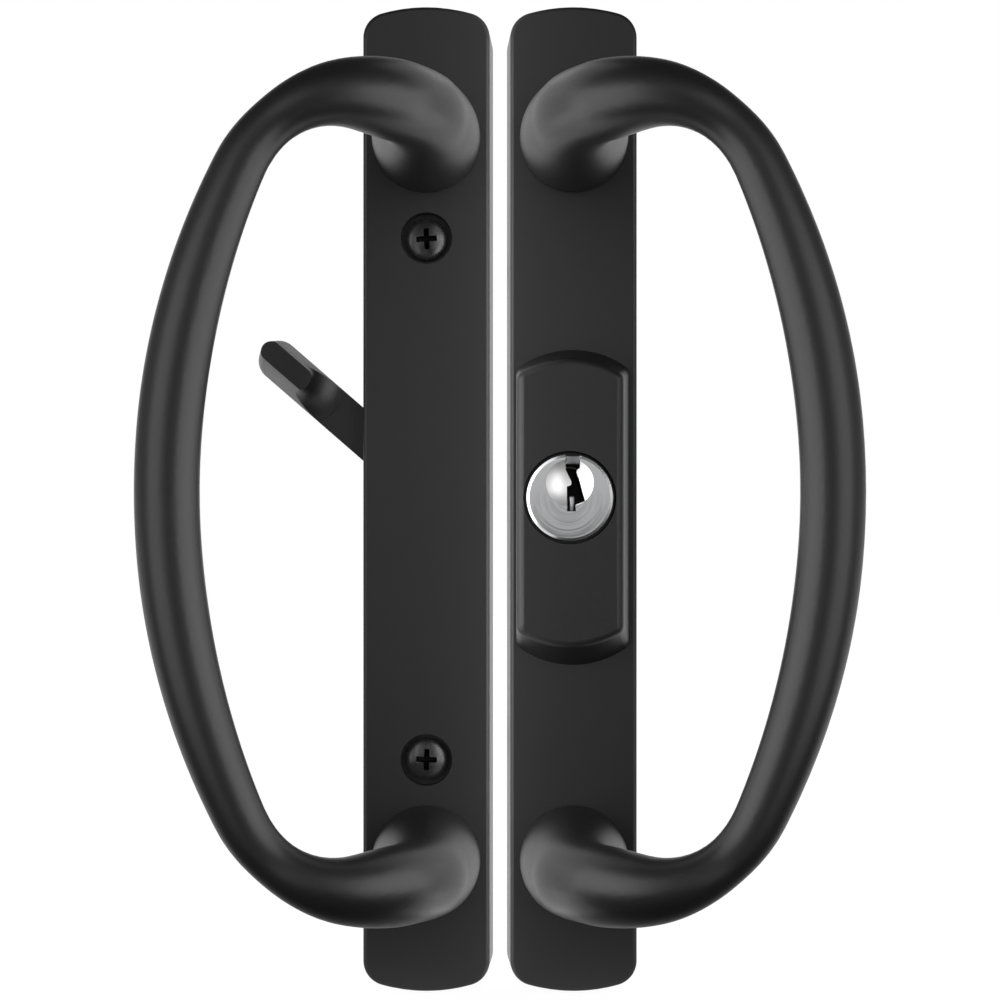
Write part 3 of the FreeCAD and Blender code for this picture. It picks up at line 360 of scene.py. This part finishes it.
def coat_material(name, centre_x=None, grain=1.0, shade=1.0):
    """Satin black powder coat, thin over bare zinc inside a hollow casting, darkened throughout by
    a factor as painted shade.
    """
    f = finish()
    material, shader = new_material(name, f.coat_colour, roughness=f.coat_roughness)
    tree = Tree(material)
    coords = tree.add("ShaderNodeTexCoord")
    place = coords.outputs["Object"]
    peel = tree.noise(place, 1500, 3.0, 0.55)
    speck = tree.noise(place, 5200, 2.0)
    cloud = tree.noise(place, 60, 3.0)
    # A factor below one darkens the whole coat as painted shade
    dark, light = scaled(f.coat_colour, 0.8 * shade), scaled(f.coat_colour, 1.25 * shade)
    coat = tree.shades(cloud, dark, light)
    gloss = tree.spread(speck, f.coat_roughness - 0.05, f.coat_roughness + 0.06)
    normal = tree.bump(peel, 0.012 * MM * grain)
    normal = tree.bump(speck, 0.005 * MM * grain, under=normal)
    tree.join(normal, shader.inputs["Normal"])
    if centre_x is None:
        tree.join(coat, shader.inputs["Base Color"])
        tree.join(gloss, shader.inputs["Roughness"])
        return material
    # Behind the plate, faces that look at the door or at the hollow's middle are thinly coated
    parts = tree.add("ShaderNodeSeparateXYZ", {"Vector": place})
    facing = tree.add("ShaderNodeSeparateXYZ", {"Vector": coords.outputs["Normal"]})
    off_centre = tree.math("SUBTRACT", parts.outputs["X"], centre_x)
    across = tree.math("MULTIPLY", off_centre, facing.outputs["X"])
    along = tree.math("MULTIPLY", parts.outputs["Z"], facing.outputs["Z"])
    outward = tree.math("ADD", across, along)
    inner = tree.spread(outward, 1, 0, -0.004, -0.001)
    backs = tree.spread(facing.outputs["Y"], 0, 1, 0.4, 0.8)
    hidden = tree.math("MAXIMUM", inner, backs)
    depth = tree.spread(parts.outputs["Y"], 0, 1, *THIN_COAT)
    hidden = tree.math("MULTIPLY", hidden, depth)
    patches = tree.spread(tree.noise(place, 240, 4.0, 0.6), 0, 0.3, 0.4, 0.75)
    bare = tree.math("MULTIPLY", hidden, patches)
    cast = tree.shades(tree.noise(place, 700, 4.0), scaled(f.casting_colour, 0.7), f.casting_colour)
    tree.join(tree.mix(bare, coat, cast), shader.inputs["Base Color"])
    tree.join(tree.math("MULTIPLY_ADD", hidden, 0.2, gloss), shader.inputs["Roughness"])
    tree.join(tree.math("MULTIPLY", bare, 0.7), shader.inputs["Metallic"])
    return material


def metal_material(name, colour, roughness, scratch=0.004):
    """Plated or bare metal with fine marks and uneven gloss."""
    material, shader = new_material(name, colour, 1.0, roughness)
    tree = Tree(material)
    place = tree.object_place()
    blotch = tree.noise(place, 150, 4.0, 0.6)
    fine = tree.noise(place, 2700, 3.0, 0.6)
    shades = tree.shades(blotch, scaled(colour, 0.66), scaled(colour, 1.1))
    tree.join(shades, shader.inputs["Base Color"])
    tree.join(tree.spread(blotch, roughness - 0.12, roughness + 0.12), shader.inputs["Roughness"])
    tree.join(tree.bump(fine, scratch * MM), shader.inputs["Normal"])
    return material


def flat_reach(tree, place, height):
    """Distance from a line square to the door, at a height over the lock's axis."""
    off = tree.add("ShaderNodeVectorMath", {0: place}, operation="SUBTRACT")
    off.inputs[1].default_value = (LOCK_X, 0, height)
    flat = tree.add("ShaderNodeVectorMath", {0: off.outputs[0]}, operation="MULTIPLY")
    flat.inputs[1].default_value = (1, 0, 1)
    length = tree.add("ShaderNodeVectorMath", {0: flat.outputs[0]}, operation="LENGTH")
    return length.outputs["Value"]


def keyway_shade_mask(tree, parts, facing, reach):
    """One on the walls and floors inside the plug's keyway and its notch, where dark shade is
    painted.
    """
    depth = parts.outputs["Y"]
    at_face = tree.spread(depth, 1, 0, *FACE_DEPTH)
    wide = tree.math("MULTIPLY", tree.spread(reach, 1, 0, *KEYWAY_AT_FACE), at_face)
    within = tree.math("MAXIMUM", wide, tree.spread(reach, 1, 0, *KEYWAY_INSIDE))
    walls = tree.spread(facing.outputs["Y"], 0, 1, -0.5, -0.3)
    floors = tree.spread(depth, 0, 1, *KEYWAY_FLOORS)
    inside = tree.math("MULTIPLY", tree.math("MAXIMUM", walls, floors), within)
    return tree.math("MULTIPLY", inside, tree.spread(depth, 1, 0, *KEYWAY_END))


def plug_material():
    """Bright chrome, turned across the face and polished in the dimple, with a painted highlight in
    the dimple, painted shade on the lower face and black painted shade in the keyway.
    """
    f = finish()
    turned, polished = 0.2, 0.42
    material, shader = new_material("turned_chrome", f.chrome, 1.0, turned)
    tree = Tree(material)
    coords = tree.add("ShaderNodeTexCoord")
    place = coords.outputs["Object"]
    parts = tree.add("ShaderNodeSeparateXYZ", {"Vector": place})
    facing = tree.add("ShaderNodeSeparateXYZ", {"Vector": coords.outputs["Normal"]})
    outside = tree.spread(flat_reach(tree, place, DIMPLE_HEIGHT), 0, 1, *DIMPLE_EDGE)
    reach = flat_reach(tree, place, 0.0)
    keyway = keyway_shade_mask(tree, parts, facing, reach)
    # Grooves follow the distance from the axis, and wander a little round it
    rings = tree.add("ShaderNodeCombineXYZ", {"X": reach}).outputs["Vector"]
    wander = tree.add("ShaderNodeVectorMath", {0: place, 2: rings}, operation="MULTIPLY_ADD")
    wander.inputs[1].default_value = (0.06, 0.06, 0.06)
    groove = tree.noise(wander.outputs[0], 2400, 3.0, 0.65)
    lines = tree.math("MULTIPLY", groove, outside)
    tree.join(tree.bump(lines, 0.003 * MM), shader.inputs["Normal"])
    tree.join(tree.spread(outside, polished, turned, 0, 1), shader.inputs["Roughness"])
    # Painted shade: the turned rings darken the lower part of the face, down to half the chrome
    lower = tree.spread(parts.outputs["Z"], 1, 0, *SHADED_FACE)
    shade = tree.math("MULTIPLY", tree.spread(groove, 0.0, 1.0, 0.4, 0.6), lower)
    face = tree.shades(tree.math("MULTIPLY", shade, outside), f.chrome, scaled(f.chrome, 0.5))
    # Painted highlight: the dimple is paler than the chrome round it
    bright = tree.mix(outside, (0.93, 0.93, 0.93), face)
    # Painted shade: the keyway's walls and floors are dark and not metallic
    tree.join(tree.mix(keyway, bright, f.painted_shade_colour), shader.inputs["Base Color"])
    tree.join(tree.math("SUBTRACT", 1.0, keyway), shader.inputs["Metallic"])
    return material


def cylinder_material():
    """Brass turned in fine rings about the lock's axis, dark at the front round the plug as painted
    shade.
    """
    f = finish()
    material, shader = new_material("turned_brass", f.brass, 1.0, 0.3)
    tree = Tree(material)
    place = tree.object_place()
    centred = tree.add("ShaderNodeMapping", {"Vector": place})
    centred.inputs["Location"].default_value = (-LOCK_X, 0, 0)
    rings = tree.add(
        "ShaderNodeTexWave", {"Vector": centred.outputs["Vector"]}, wave_type="RINGS",
        rings_direction="Y",
    )
    rings.inputs["Scale"].default_value = 500 / 3
    rings.inputs["Distortion"].default_value = 1.2
    rings.inputs["Detail"].default_value = 3.0
    rings.inputs["Detail Scale"].default_value = 400.0
    tree.join(tree.bump(rings.outputs["Fac"], 0.004 * MM), shader.inputs["Normal"])
    blotch = tree.noise(place, 300, 4.0, 0.6)
    brass = tree.shades(blotch, scaled(f.brass, 0.88), scaled(f.brass, 1.06))
    parts = tree.add("ShaderNodeSeparateXYZ", {"Vector": place})
    # Painted shade: the front round the plug is dark and not metallic
    front = tree.spread(parts.outputs["Y"], 1, 0, *PAINTED_SHADE_FRONT)
    tree.join(tree.mix(front, brass, f.painted_shade_colour), shader.inputs["Base Color"])
    tree.join(tree.math("SUBTRACT", 1.0, front), shader.inputs["Metallic"])
    return material


def nylon_material():
    """Pale moulded nylon with a fine dull grain."""
    f = finish()
    material, shader = new_material("moulded_nylon", f.nylon, 0.0, 0.45)
    tree = Tree(material)
    place = tree.object_place()
    cloud = tree.noise(place, 500, 3.0)
    shades = tree.shades(cloud, scaled(f.nylon, 0.93), scaled(f.nylon, 1.04))
    tree.join(shades, shader.inputs["Base Color"])
    tree.join(tree.bump(tree.noise(place, 2500, 2.0), 0.006 * MM), shader.inputs["Normal"])
    return material


def blackened_steel_material(name):
    """Blackened steel with a semi-gloss, slightly uneven skin."""
    f = finish()
    material, shader = new_material(name, f.black_steel, 0.0, 0.26, 0.6)
    tree = Tree(material)
    place = tree.object_place()
    cloud = tree.noise(place, 900, 4.0, 0.6)
    shades = tree.shades(cloud, scaled(f.black_steel, 0.7), scaled(f.black_steel, 1.6))
    tree.join(shades, shader.inputs["Base Color"])
    tree.join(tree.spread(cloud, 0.2, 0.36), shader.inputs["Roughness"])
    tree.join(tree.bump(tree.noise(place, 2600, 3.0), 0.006 * MM), shader.inputs["Normal"])
    return material


def material_once(maker, name, *args, **settings):
    """The named material, made the first time that a piece asks for it."""
    return bpy.data.materials.get(name) or maker(name, *args, **settings)


def zinc():
    return material_once(metal_material, "zinc_plate", finish().zinc_plate, 0.3)


def steel():
    return material_once(metal_material, "spring_steel", finish().spring_steel, 0.33)


def struck_recess():
    """The dull inside of a struck cross recess, painted dark as shade."""
    return material_once(metal_material, "struck_recess", finish().painted_shade_colour, 0.7, 0.01)


def dress_node(node, material):
    """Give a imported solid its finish."""
    mesh = frame["nodes"][node].data
    mesh.materials.clear()
    mesh.materials.append(material)


def finish_piece(name, bm, material, body, replaced=(), smooth_angle=35):
    """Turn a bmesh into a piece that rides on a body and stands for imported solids."""
    bmesh.ops.remove_doubles(bm, verts=bm.verts, dist=0.0005 * MM)
    bmesh.ops.recalc_face_normals(bm, faces=bm.faces)
    mesh = bpy.data.meshes.new(name)
    bm.to_mesh(mesh)
    bm.free()
    mesh.shade_smooth()
    mesh.set_sharp_from_angle(angle=math.radians(smooth_angle))
    mesh.materials.append(material)
    piece = bpy.data.objects.new(name, mesh)
    bpy.context.scene.collection.objects.link(piece)
    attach(piece, body)
    if replaced:
        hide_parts(*replaced)
    return piece


def merged_copy(node):
    """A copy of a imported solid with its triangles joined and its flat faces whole."""
    bm = bmesh.new()
    bm.from_mesh(frame["nodes"][node].data)
    bmesh.ops.remove_doubles(bm, verts=bm.verts, dist=0.002 * MM)
    bmesh.ops.dissolve_limit(
        bm, angle_limit=math.radians(0.3), verts=bm.verts, edges=bm.edges,
        use_dissolve_boundaries=False,
    )
    return bm


def soften(bm, width, angle=35, where=None):
    """Round the sharp edges over a small width."""
    sharp = [
        e for e in bm.edges
        if len(e.link_faces) == 2 and e.calc_face_angle(0.0) > math.radians(angle)
        and (where is None or where(e))
    ]
    bmesh.ops.bevel(
        bm, geom=sharp, offset=width, offset_type="OFFSET", affect="EDGES", segments=2, profile=0.5,
        material=-1, clamp_overlap=True, loop_slide=True,
    )


def softened_piece(node, material, body, width):
    """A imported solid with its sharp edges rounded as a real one's are."""
    bm = merged_copy(node)
    soften(bm, width)
    piece = finish_piece(f"{node}_softened", bm, material, body, (node,), 40)
    piece.modifiers.new("even_faces", "WEIGHTED_NORMAL").keep_sharp = True
    return piece


def lathe(bm, profile, steps):
    """Spin a profile of (radius, height) round the Z axis."""
    verts = [bm.verts.new((radius, 0, height)) for radius, height in profile]
    edges = [bm.edges.new(pair) for pair in zip(verts, verts[1:])]
    bmesh.ops.spin(
        bm, geom=verts + edges, cent=(0, 0, 0), axis=(0, 0, 1), angle=math.tau, steps=steps,
        use_merge=True, use_duplicate=False,
    )


def add_thread(bm, root, crest, low, high, pitch, steps):
    """A helical ridge from one height to another, running out at both ends."""
    turns = (high - low) / pitch - 1
    count = int(turns * steps)
    ridge = [
        bm.verts.new((root, 0, low)),
        bm.verts.new((crest, 0, low + pitch * CREST_START)),
        bm.verts.new((crest, 0, low + pitch * CREST_END)),
        bm.verts.new((root, 0, low + pitch)),
    ]
    start = len(bm.verts) - len(ridge)
    edges = [bm.edges.new(pair) for pair in zip(ridge, ridge[1:])]
    bmesh.ops.spin(
        bm, geom=ridge + edges, cent=(0, 0, 0), axis=(0, 0, 1), dvec=(0, 0, pitch / steps),
        angle=math.tau * count / steps, steps=count, use_merge=False, use_duplicate=False,
    )
    bm.verts.ensure_lookup_table()
    taper = pitch * 0.8
    for vert in list(bm.verts)[start:]:
        radius = math.hypot(vert.co.x, vert.co.y)
        if radius <= root * 1.001:
            continue
        room = min(vert.co.z - low, high - vert.co.z) - pitch * CREST_START
        share = max(0.0, min(1.0, room / taper))
        wanted = root + (radius - root) * share
        vert.co.x *= wanted / radius
        vert.co.y *= wanted / radius


def cross_reach(angle, reach, half_width):
    """Distance from the middle of a cross to its outline, in a direction."""
    folded = abs((angle + math.pi / 4) % (math.pi / 2) - math.pi / 4)
    side = half_width / max(math.sin(folded), 1e-6)
    return min(reach / math.cos(folded), side)


def ring_edges(ring):
    inside = set(ring)
    return list({e for v in ring for e in v.link_edges if e.other_vert(v) in inside})


def add_pan_head(bm, radius, rim, crown, around=96):
    """A pan head on the Z axis with its seat at zero: rim, dome and tapered cross recess."""
    s = screws()
    reach = radius * s.recess_reach
    half_width = radius * s.recess_width
    height = rim + crown

    def circle(size):
        return bmesh.ops.create_circle(bm, segments=around, radius=size, cap_ends=False)["verts"]

    def place(vert, angle, r, z):
        vert.co = Vector((math.cos(angle) * r, math.sin(angle) * r, z))

    def dome(r):
        share = min(1.0, max(0.0, (r / radius - HEAD_FLAT) / (1 - HEAD_FLAT)))
        return height - crown * (0.75 * share**2 + 0.25 * share**6)

    rings = []
    for level in range(DOME_RINGS + 1):
        ring = circle(radius)
        for vert in ring:
            angle = math.atan2(vert.co.y, vert.co.x)
            inner = cross_reach(angle, reach, half_width)
            r = inner + (radius - inner) * (level / DOME_RINGS) ** 0.8
            place(vert, angle, r, dome(r))
        rings.append(ring)
    for depth, share in RECESS_LEVELS:
        ring = circle(radius)
        for vert in ring:
            angle = math.atan2(vert.co.y, vert.co.x)
            r = cross_reach(angle, reach * share, half_width * (0.25 + 0.75 * share))
            place(vert, angle, r, height - depth * height)
        rings.insert(0, ring)
    skirt = circle(radius)
    bmesh.ops.translate(bm, verts=skirt, vec=(0, 0, rim * 0.12))
    rings += [skirt, circle(radius * 0.97)]
    recess = []
    for step, (first, second) in enumerate(zip(rings, rings[1:])):
        edges = [e for ring in (first, second) for e in ring_edges(ring)]
        made = bmesh.ops.bridge_loops(bm, edges=edges)["faces"]
        recess += made if step < len(RECESS_LEVELS) - 1 else []
    recess += bmesh.ops.contextual_create(bm, geom=ring_edges(rings[0]))["faces"]
    # The recess faces take the second material, which paints shade into them
    for face in recess:
        face.material_index = 1
    bmesh.ops.contextual_create(bm, geom=ring_edges(rings[-1]))


class Screw(NamedTuple):
    """Sizes of a pan-headed screw: heights of rim and crown, lengths below the seat, radii."""

    head: float
    rim: float
    crown: float
    shank: float
    root: float
    crest: float
    plain: float
    length: float
    pitch: float


def add_screw(bm, screw, place):
    """One pan-headed screw: head, plain shank, thread and chamfered end, put in its place."""
    part = bmesh.new()
    # Made in millimetres and scaled: bridging fails on loops this small in metres
    add_pan_head(part, screw.head / MM, screw.rim / MM, screw.crown / MM)
    bmesh.ops.scale(part, vec=(MM, MM, MM), verts=part.verts)
    chamfer = (screw.crest - screw.root) * 1.6
    if screw.plain > 0:
        profile = [
            (1e-6, 0.0),
            (screw.shank, 0.0),
            (screw.shank, -screw.plain),
            (screw.root, -screw.plain - (screw.shank - screw.root)),
        ]
    else:
        profile = [(1e-6, 0.0), (screw.root, 0.0)]
    profile += [
        (screw.root, -screw.length + chamfer),
        (screw.root - chamfer * 0.7, -screw.length),
        (1e-6, -screw.length),
    ]
    lathe(part, profile, 48)
    add_thread(
        part, screw.root * 0.995, screw.crest, -screw.length + chamfer * 0.4, -screw.plain,
        screw.pitch, screws().turns_round,
    )
    bmesh.ops.remove_doubles(part, verts=part.verts, dist=0.0005 * MM)
    bmesh.ops.recalc_face_normals(part, faces=part.faces)
    bmesh.ops.transform(part, matrix=place, verts=part.verts)
    mesh = bpy.data.meshes.new("screw_part")
    part.to_mesh(mesh)
    part.free()
    bm.from_mesh(mesh)
    bpy.data.meshes.remove(mesh)


def facing_viewer(seat, turn):
    """A screw's Z axis turned towards the viewer, with its seat at a place."""
    tilt = Matrix.Rotation(math.radians(90), 4, "X")
    return Matrix.Translation(seat) @ tilt @ Matrix.Rotation(turn, 4, "Z")


def facing_door(seat, turn):
    """A screw's Z axis turned into the door, with its seat at a place."""
    tilt = Matrix.Rotation(math.radians(-90), 4, "X")
    return Matrix.Translation(seat) @ tilt @ Matrix.Rotation(turn, 4, "Z")


def node_centres(node):
    """A node's corners, and the middles of its two like round solids: X, then both heights."""
    low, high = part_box(node)
    radius = (high.x - low.x) / 2
    return low, high, low.x + radius, (high.z - radius, low.z + radius)


class HANDLE_OT_castings(bpy.types.Operator):
    """Coat the two escutcheons and the two pulls"""

    bl_idname = "handle.castings"
    bl_label = "Castings"

    def execute(self, context):
        for node in ("inside_escutcheon", "outside_escutcheon"):
            low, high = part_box(node)
            dress_node(node, coat_material(f"{node}_coat", (low.x + high.x) / 2))
        for node in ("inside_pull", "outside_pull"):
            dress_node(node, material_once(coat_material, "pull_coat"))
        return {"FINISHED"}


class HANDLE_OT_through_screws(bpy.types.Operator):
    """Make the two long screws that clamp the halves through the door"""

    bl_idname = "handle.through_screws"
    bl_label = "Through screws"

    def execute(self, context):
        low, high, x, places = node_centres("through_screws")
        head_height = THROUGH_SEAT - low.y
        screw = Screw(
            head=(high.x - low.x) / 2, rim=head_height * 0.62, crown=head_height * 0.38,
            shank=THROUGH_SHANK, root=THROUGH_ROOT, crest=THROUGH_CREST, plain=THROUGH_PLAIN,
            length=high.y - THROUGH_SEAT, pitch=screws().through_pitch,
        )
        bm = bmesh.new()
        for z, turn in zip(places, THROUGH_TURNS):
            add_screw(bm, screw, facing_viewer((x, THROUGH_SEAT, z), turn))
        piece = finish_piece(
            "through_screws_threaded", bm, blackened_steel_material("blackened_steel"),
            "handle_set", ("through_screws",),
        )
        # Second material: painted shade in the cross recesses
        piece.data.materials.append(struck_recess())
        return {"FINISHED"}


class HANDLE_OT_inner_screws(bpy.types.Operator):
    """Make the screws that hold the pulls, the retainer and the bracket from behind"""

    bl_idname = "handle.inner_screws"
    bl_label = "Inner screws"

    def execute(self, context):
        sizes = {
            "inside_pull_screws": PULL_SCREW,
            "outside_pull_screws": PULL_SCREW,
            "retainer_screws": SHEET_SCREW,
            "bracket_screws": SHEET_SCREW,
        }
        for node, (shank, head_height) in sizes.items():
            low, high, x, places = node_centres(node)
            seat = high.y - head_height
            rim = head_height * 0.45
            screw = Screw(
                head=(high.x - low.x) / 2, rim=rim, crown=head_height - rim, shank=shank,
                root=shank * 0.82, crest=shank * 0.99, plain=0.0, length=seat - low.y,
                pitch=screws().inner_pitch,
            )
            bm = bmesh.new()
            for i, z in enumerate(places):
                add_screw(bm, screw, facing_door((x, seat, z), 0.3 + 0.8 * i))
            piece = finish_piece(
                f"{node}_threaded", bm, zinc(), "handle_set", (node,)
            )
            # Second material: painted shade in the cross recesses
            piece.data.materials.append(struck_recess())
        return {"FINISHED"}


class HANDLE_OT_thumb_lever(bpy.types.Operator):
    """Round the thumb lever's edges and coat it"""

    bl_idname = "handle.thumb_lever"
    bl_label = "Thumb lever"

    def execute(self, context):
        # The lever's coat is darkened to about half, painted shade
        coat = coat_material("lever_coat_painted_shade", grain=2.5, shade=0.55)
        softened_piece("thumb_lever", coat, "lever", LEVER_EDGE)
        return {"FINISHED"}


class HANDLE_OT_lever_works(bpy.types.Operator):
    """Finish the bush, washer, retainer, tailpiece and pin behind the lever"""

    bl_idname = "handle.lever_works"
    bl_label = "Lever works"

    def execute(self, context):
        dress_node("lever_bush", nylon_material())
        dress_node("lever_spring_washer", steel())
        softened_piece("lever_retainer", zinc(), "handle_set", SHEET_EDGE)
        for node in ("lever_tailpiece", "tailpiece_pin"):
            softened_piece(node, zinc(), "lever", SHEET_EDGE)
        return {"FINISHED"}


class HANDLE_OT_lock(bpy.types.Operator):
    """Finish the key plug, its cylinder and what holds them"""

    bl_idname = "handle.lock"
    bl_label = "Lock"

    def execute(self, context):
        low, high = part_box("key_plug")
        bm = merged_copy("key_plug")
        rim = (high.x - low.x) / 2 - 0.05 * MM
        face, front = low.y + 0.7 * MM, low.y + 0.9 * MM
        for vert in bm.verts:
            if vert.co.y < face and math.hypot(vert.co.x - LOCK_X, vert.co.z) > rim:
                vert.co.y -= PLUG_RIM
        soften(bm, PLUG_EDGE, 50, lambda e: max(v.co.y for v in e.verts) < front)
        plug = finish_piece(
            "key_plug_turned", bm, plug_material(), "plug", ("key_plug",), 12
        )
        plug.modifiers.new("even_faces", "WEIGHTED_NORMAL").keep_sharp = True
        dress_node("cylinder_body", cylinder_material())
        dress_node("plug_clip", steel())
        softened_piece("cylinder_tailpiece", zinc(), "plug", SHEET_EDGE)
        for node in ("cylinder_bracket", "mounting_posts"):
            softened_piece(node, zinc(), "handle_set", SHEET_EDGE)
        self.keyway_parts(low.y)
        return {"FINISHED"}

    def keyway_parts(self, front):
        """The shutter block in the plug's notch and the first pin in the keyway's foot."""
        dark = material_once(
            metal_material, "dark_shutter", scaled(finish().spring_steel, 0.8), 0.38
        )
        bm = bmesh.new()
        bmesh.ops.create_cube(bm, size=1.0)
        bmesh.ops.scale(bm, verts=bm.verts, vec=(2.66 * MM, 1.6 * MM, 1.55 * MM))
        place = (LOCK_X + 0.57 * MM, front + 1.15 * MM, 7.1 * MM)
        bmesh.ops.translate(bm, verts=bm.verts, vec=place)
        bmesh.ops.bevel(
            bm, geom=bm.edges, offset=0.18 * MM, offset_type="OFFSET", affect="EDGES", segments=3,
            profile=0.5, material=-1,
        )
        finish_piece("keyway_shutter", bm, dark, "plug")
        bm = bmesh.new()
        radius = 0.64 * MM
        lathe(bm, [
            (1e-6, -2.4 * MM), (radius, -2.4 * MM), (radius, -0.1 * MM), (radius * 0.8, 0.2 * MM),
            (radius * 0.35, 0.36 * MM), (1e-6, 0.38 * MM),
        ], 32)
        place = (LOCK_X + 0.39 * MM, front + 1.9 * MM, 0)
        bmesh.ops.translate(bm, verts=bm.verts, vec=place)
        finish_piece("keyway_pin", bm, steel(), "plug")


class HANDLE_OT_stage(bpy.types.Operator):
    """Set the floor, the lamps, the white surroundings and the camera"""

    bl_idname = "handle.stage"
    bl_label = "Stage"

    def execute(self, context):
        make_floor()
        make_world()
        make_lamps()
        make_camera()
        context.scene.view_settings.view_transform = "Standard"
        return {"FINISHED"}


def make_floor():
    """A plain pale floor under the plates, white to the camera and shadowed by the object."""
    low, _ = CAD_BOX
    bm = bmesh.new()
    bmesh.ops.create_grid(bm, x_segments=8, y_segments=8, size=3.0)
    bmesh.ops.translate(bm, verts=bm.verts, vec=(0, 0, low.z))
    mesh = bpy.data.meshes.new("floor")
    bm.to_mesh(mesh)
    bm.free()
    material, shader = new_material("pale_floor", FLOOR_GREY, 0.0, 0.9, 0.0)
    tree = Tree(material)
    parts = tree.add("ShaderNodeSeparateXYZ", {"Vector": tree.object_place()})
    backdrop = tree.spread(parts.outputs["Y"], *FLOOR_BACKDROP)
    shader.inputs["Emission Color"].default_value = (1, 1, 1, 1)
    seen = tree.math("MULTIPLY", seen_as_backdrop(tree, backdrop), FLOOR_GLOW)
    tree.join(seen, shader.inputs["Emission Strength"])
    mesh.materials.append(material)
    floor = bpy.data.objects.new("floor", mesh)
    bpy.context.scene.collection.objects.link(floor)


def seen_as_backdrop(tree, backdrop):
    """One where the camera looks, and where a mirror or glass looks at the backdrop."""
    path = tree.add("ShaderNodeLightPath").outputs
    mirrored = tree.math("MAXIMUM", path["Is Glossy Ray"], path["Is Transmission Ray"])
    mirrored = tree.math("MULTIPLY", mirrored, backdrop)
    return tree.math("MAXIMUM", path["Is Camera Ray"], mirrored)


def make_world():
    """White behind the object and to the camera, a dimmer room in front, above and below."""
    world = bpy.data.worlds.new("studio")
    bpy.context.scene.world = world
    world.use_nodes = True
    tree = Tree(world)
    background = tree.nodes["Background"]
    background.inputs["Color"].default_value = (1, 1, 1, 1)
    direction = tree.add("ShaderNodeTexCoord").outputs["Generated"]
    parts = tree.add("ShaderNodeSeparateXYZ", {"Vector": direction}).outputs
    sides = tree.spread(parts["Y"], *ROOM_SIDES)
    around = tree.math("MAXIMUM", sides, tree.spread(parts["Y"], *ROOM_BEHIND))
    above = tree.spread(parts["Z"], *ROOM_ABOVE)
    below = tree.spread(parts["Z"], *ROOM_BELOW)
    height = tree.math("MULTIPLY", above, below)
    room = tree.math("MULTIPLY", around, height)
    backdrop = tree.math("MULTIPLY", tree.spread(parts["Y"], *ROOM_BACKDROP), height)
    level = tree.math("MAXIMUM", room, seen_as_backdrop(tree, backdrop))
    tree.join(level, background.inputs["Strength"])


def half_collection(name, side, middle):
    """The pieces that stand on one side of the set's middle."""
    half = bpy.data.collections.new(name)
    for piece in bpy.context.scene.objects:
        if piece.type != "MESH" or piece.name == "floor":
            continue
        corners = [corner[0] for corner in piece.bound_box]
        if (sum(corners) / len(corners) - middle) * side > 0:
            half.objects.link(piece)
    return half


def make_lamps():
    """For each half alone: a soft lamp on its own side, a stronger one across, a white card."""
    stage = bpy.context.scene.handle_stage
    middle = stage.camera_place[0]
    for half_name, side in (("inside_half", -1), ("outside_half", 1)):
        half = half_collection(half_name, side, middle)
        grip = Vector((middle + side * LAMP_AIM[0], LAMP_AIM[1], 0.0))
        straight = Vector((middle + side, CARD[1], 0.0))
        for name, (across, depth, width), power, aim in (
            ("near_lamp", NEAR_LAMP, stage.near_power, grip),
            ("far_lamp", FAR_LAMP, stage.far_power, grip),
            ("white_card", CARD, stage.card_power, straight),
        ):
            light = bpy.data.lights.new(f"{half_name}_{name}", "AREA")
            light.shape = "RECTANGLE"
            light.size = width
            light.size_y = LAMP_HEIGHT
            light.energy = power
            lamp = bpy.data.objects.new(light.name, light)
            bpy.context.scene.collection.objects.link(lamp)
            lamp.location = (middle + side * across, depth, 0.0)
            lamp.rotation_euler = (aim - lamp.location).to_track_quat("-Z", "Y").to_euler()
            lamp.visible_camera = False
            lamp.light_linking.receiver_collection = half
            lamp.light_linking.blocker_collection = half


def make_camera():
    """The photograph's viewpoint, level and square to the door, shifted a little upwards."""
    stage = bpy.context.scene.handle_stage
    data = bpy.data.cameras.new("photo_camera")
    camera = bpy.data.objects.new("photo_camera", data)
    bpy.context.scene.collection.objects.link(camera)
    camera.location = stage.camera_place
    camera.rotation_euler = (math.radians(90), 0, 0)
    distance = -stage.camera_place[1] - stage.plate_front
    data.sensor_width = 36
    data.lens = data.sensor_width * distance / stage.frame_width
    data.shift_y = stage.frame_shift
    data.clip_start = 0.01
    data.clip_end = 20
    data.dof.use_dof = False
    bpy.context.scene.camera = camera


STEPS = (
    HANDLE_OT_castings,
    HANDLE_OT_through_screws,
    HANDLE_OT_inner_screws,
    HANDLE_OT_thumb_lever,
    HANDLE_OT_lever_works,
    HANDLE_OT_lock,
    HANDLE_OT_stage,
)


class HANDLE_PT_panel(bpy.types.Panel):
    """The handle's pieces, each made by its button"""

    bl_idname = "HANDLE_PT_panel"
    bl_label = "Door handle"
    bl_space_type = "VIEW_3D"
    bl_region_type = "UI"
    bl_category = "Door handle"

    def draw(self, context):
        for step in STEPS:
            self.layout.operator(step.bl_idname)


GROUPS = (
    ("handle_finish", HandleFinish),
    ("handle_screws", HandleScrews),
    ("handle_stage", HandleStage),
)


def register():
    for name, group in GROUPS:
        bpy.utils.register_class(group)
        setattr(bpy.types.Scene, name, PointerProperty(type=group))
    for step in STEPS:
        bpy.utils.register_class(step)
    bpy.utils.register_class(HANDLE_PT_panel)


def unregister():
    bpy.utils.unregister_class(HANDLE_PT_panel)
    for step in reversed(STEPS):
        bpy.utils.unregister_class(step)
    for name, group in reversed(GROUPS):
        delattr(bpy.types.Scene, name)
        bpy.utils.unregister_class(group)


def main():
    register()
    for step in STEPS:
        area, name = step.bl_idname.split(".")
        getattr(getattr(bpy.ops, area), name)()


if __name__ == "__main__":
    main()
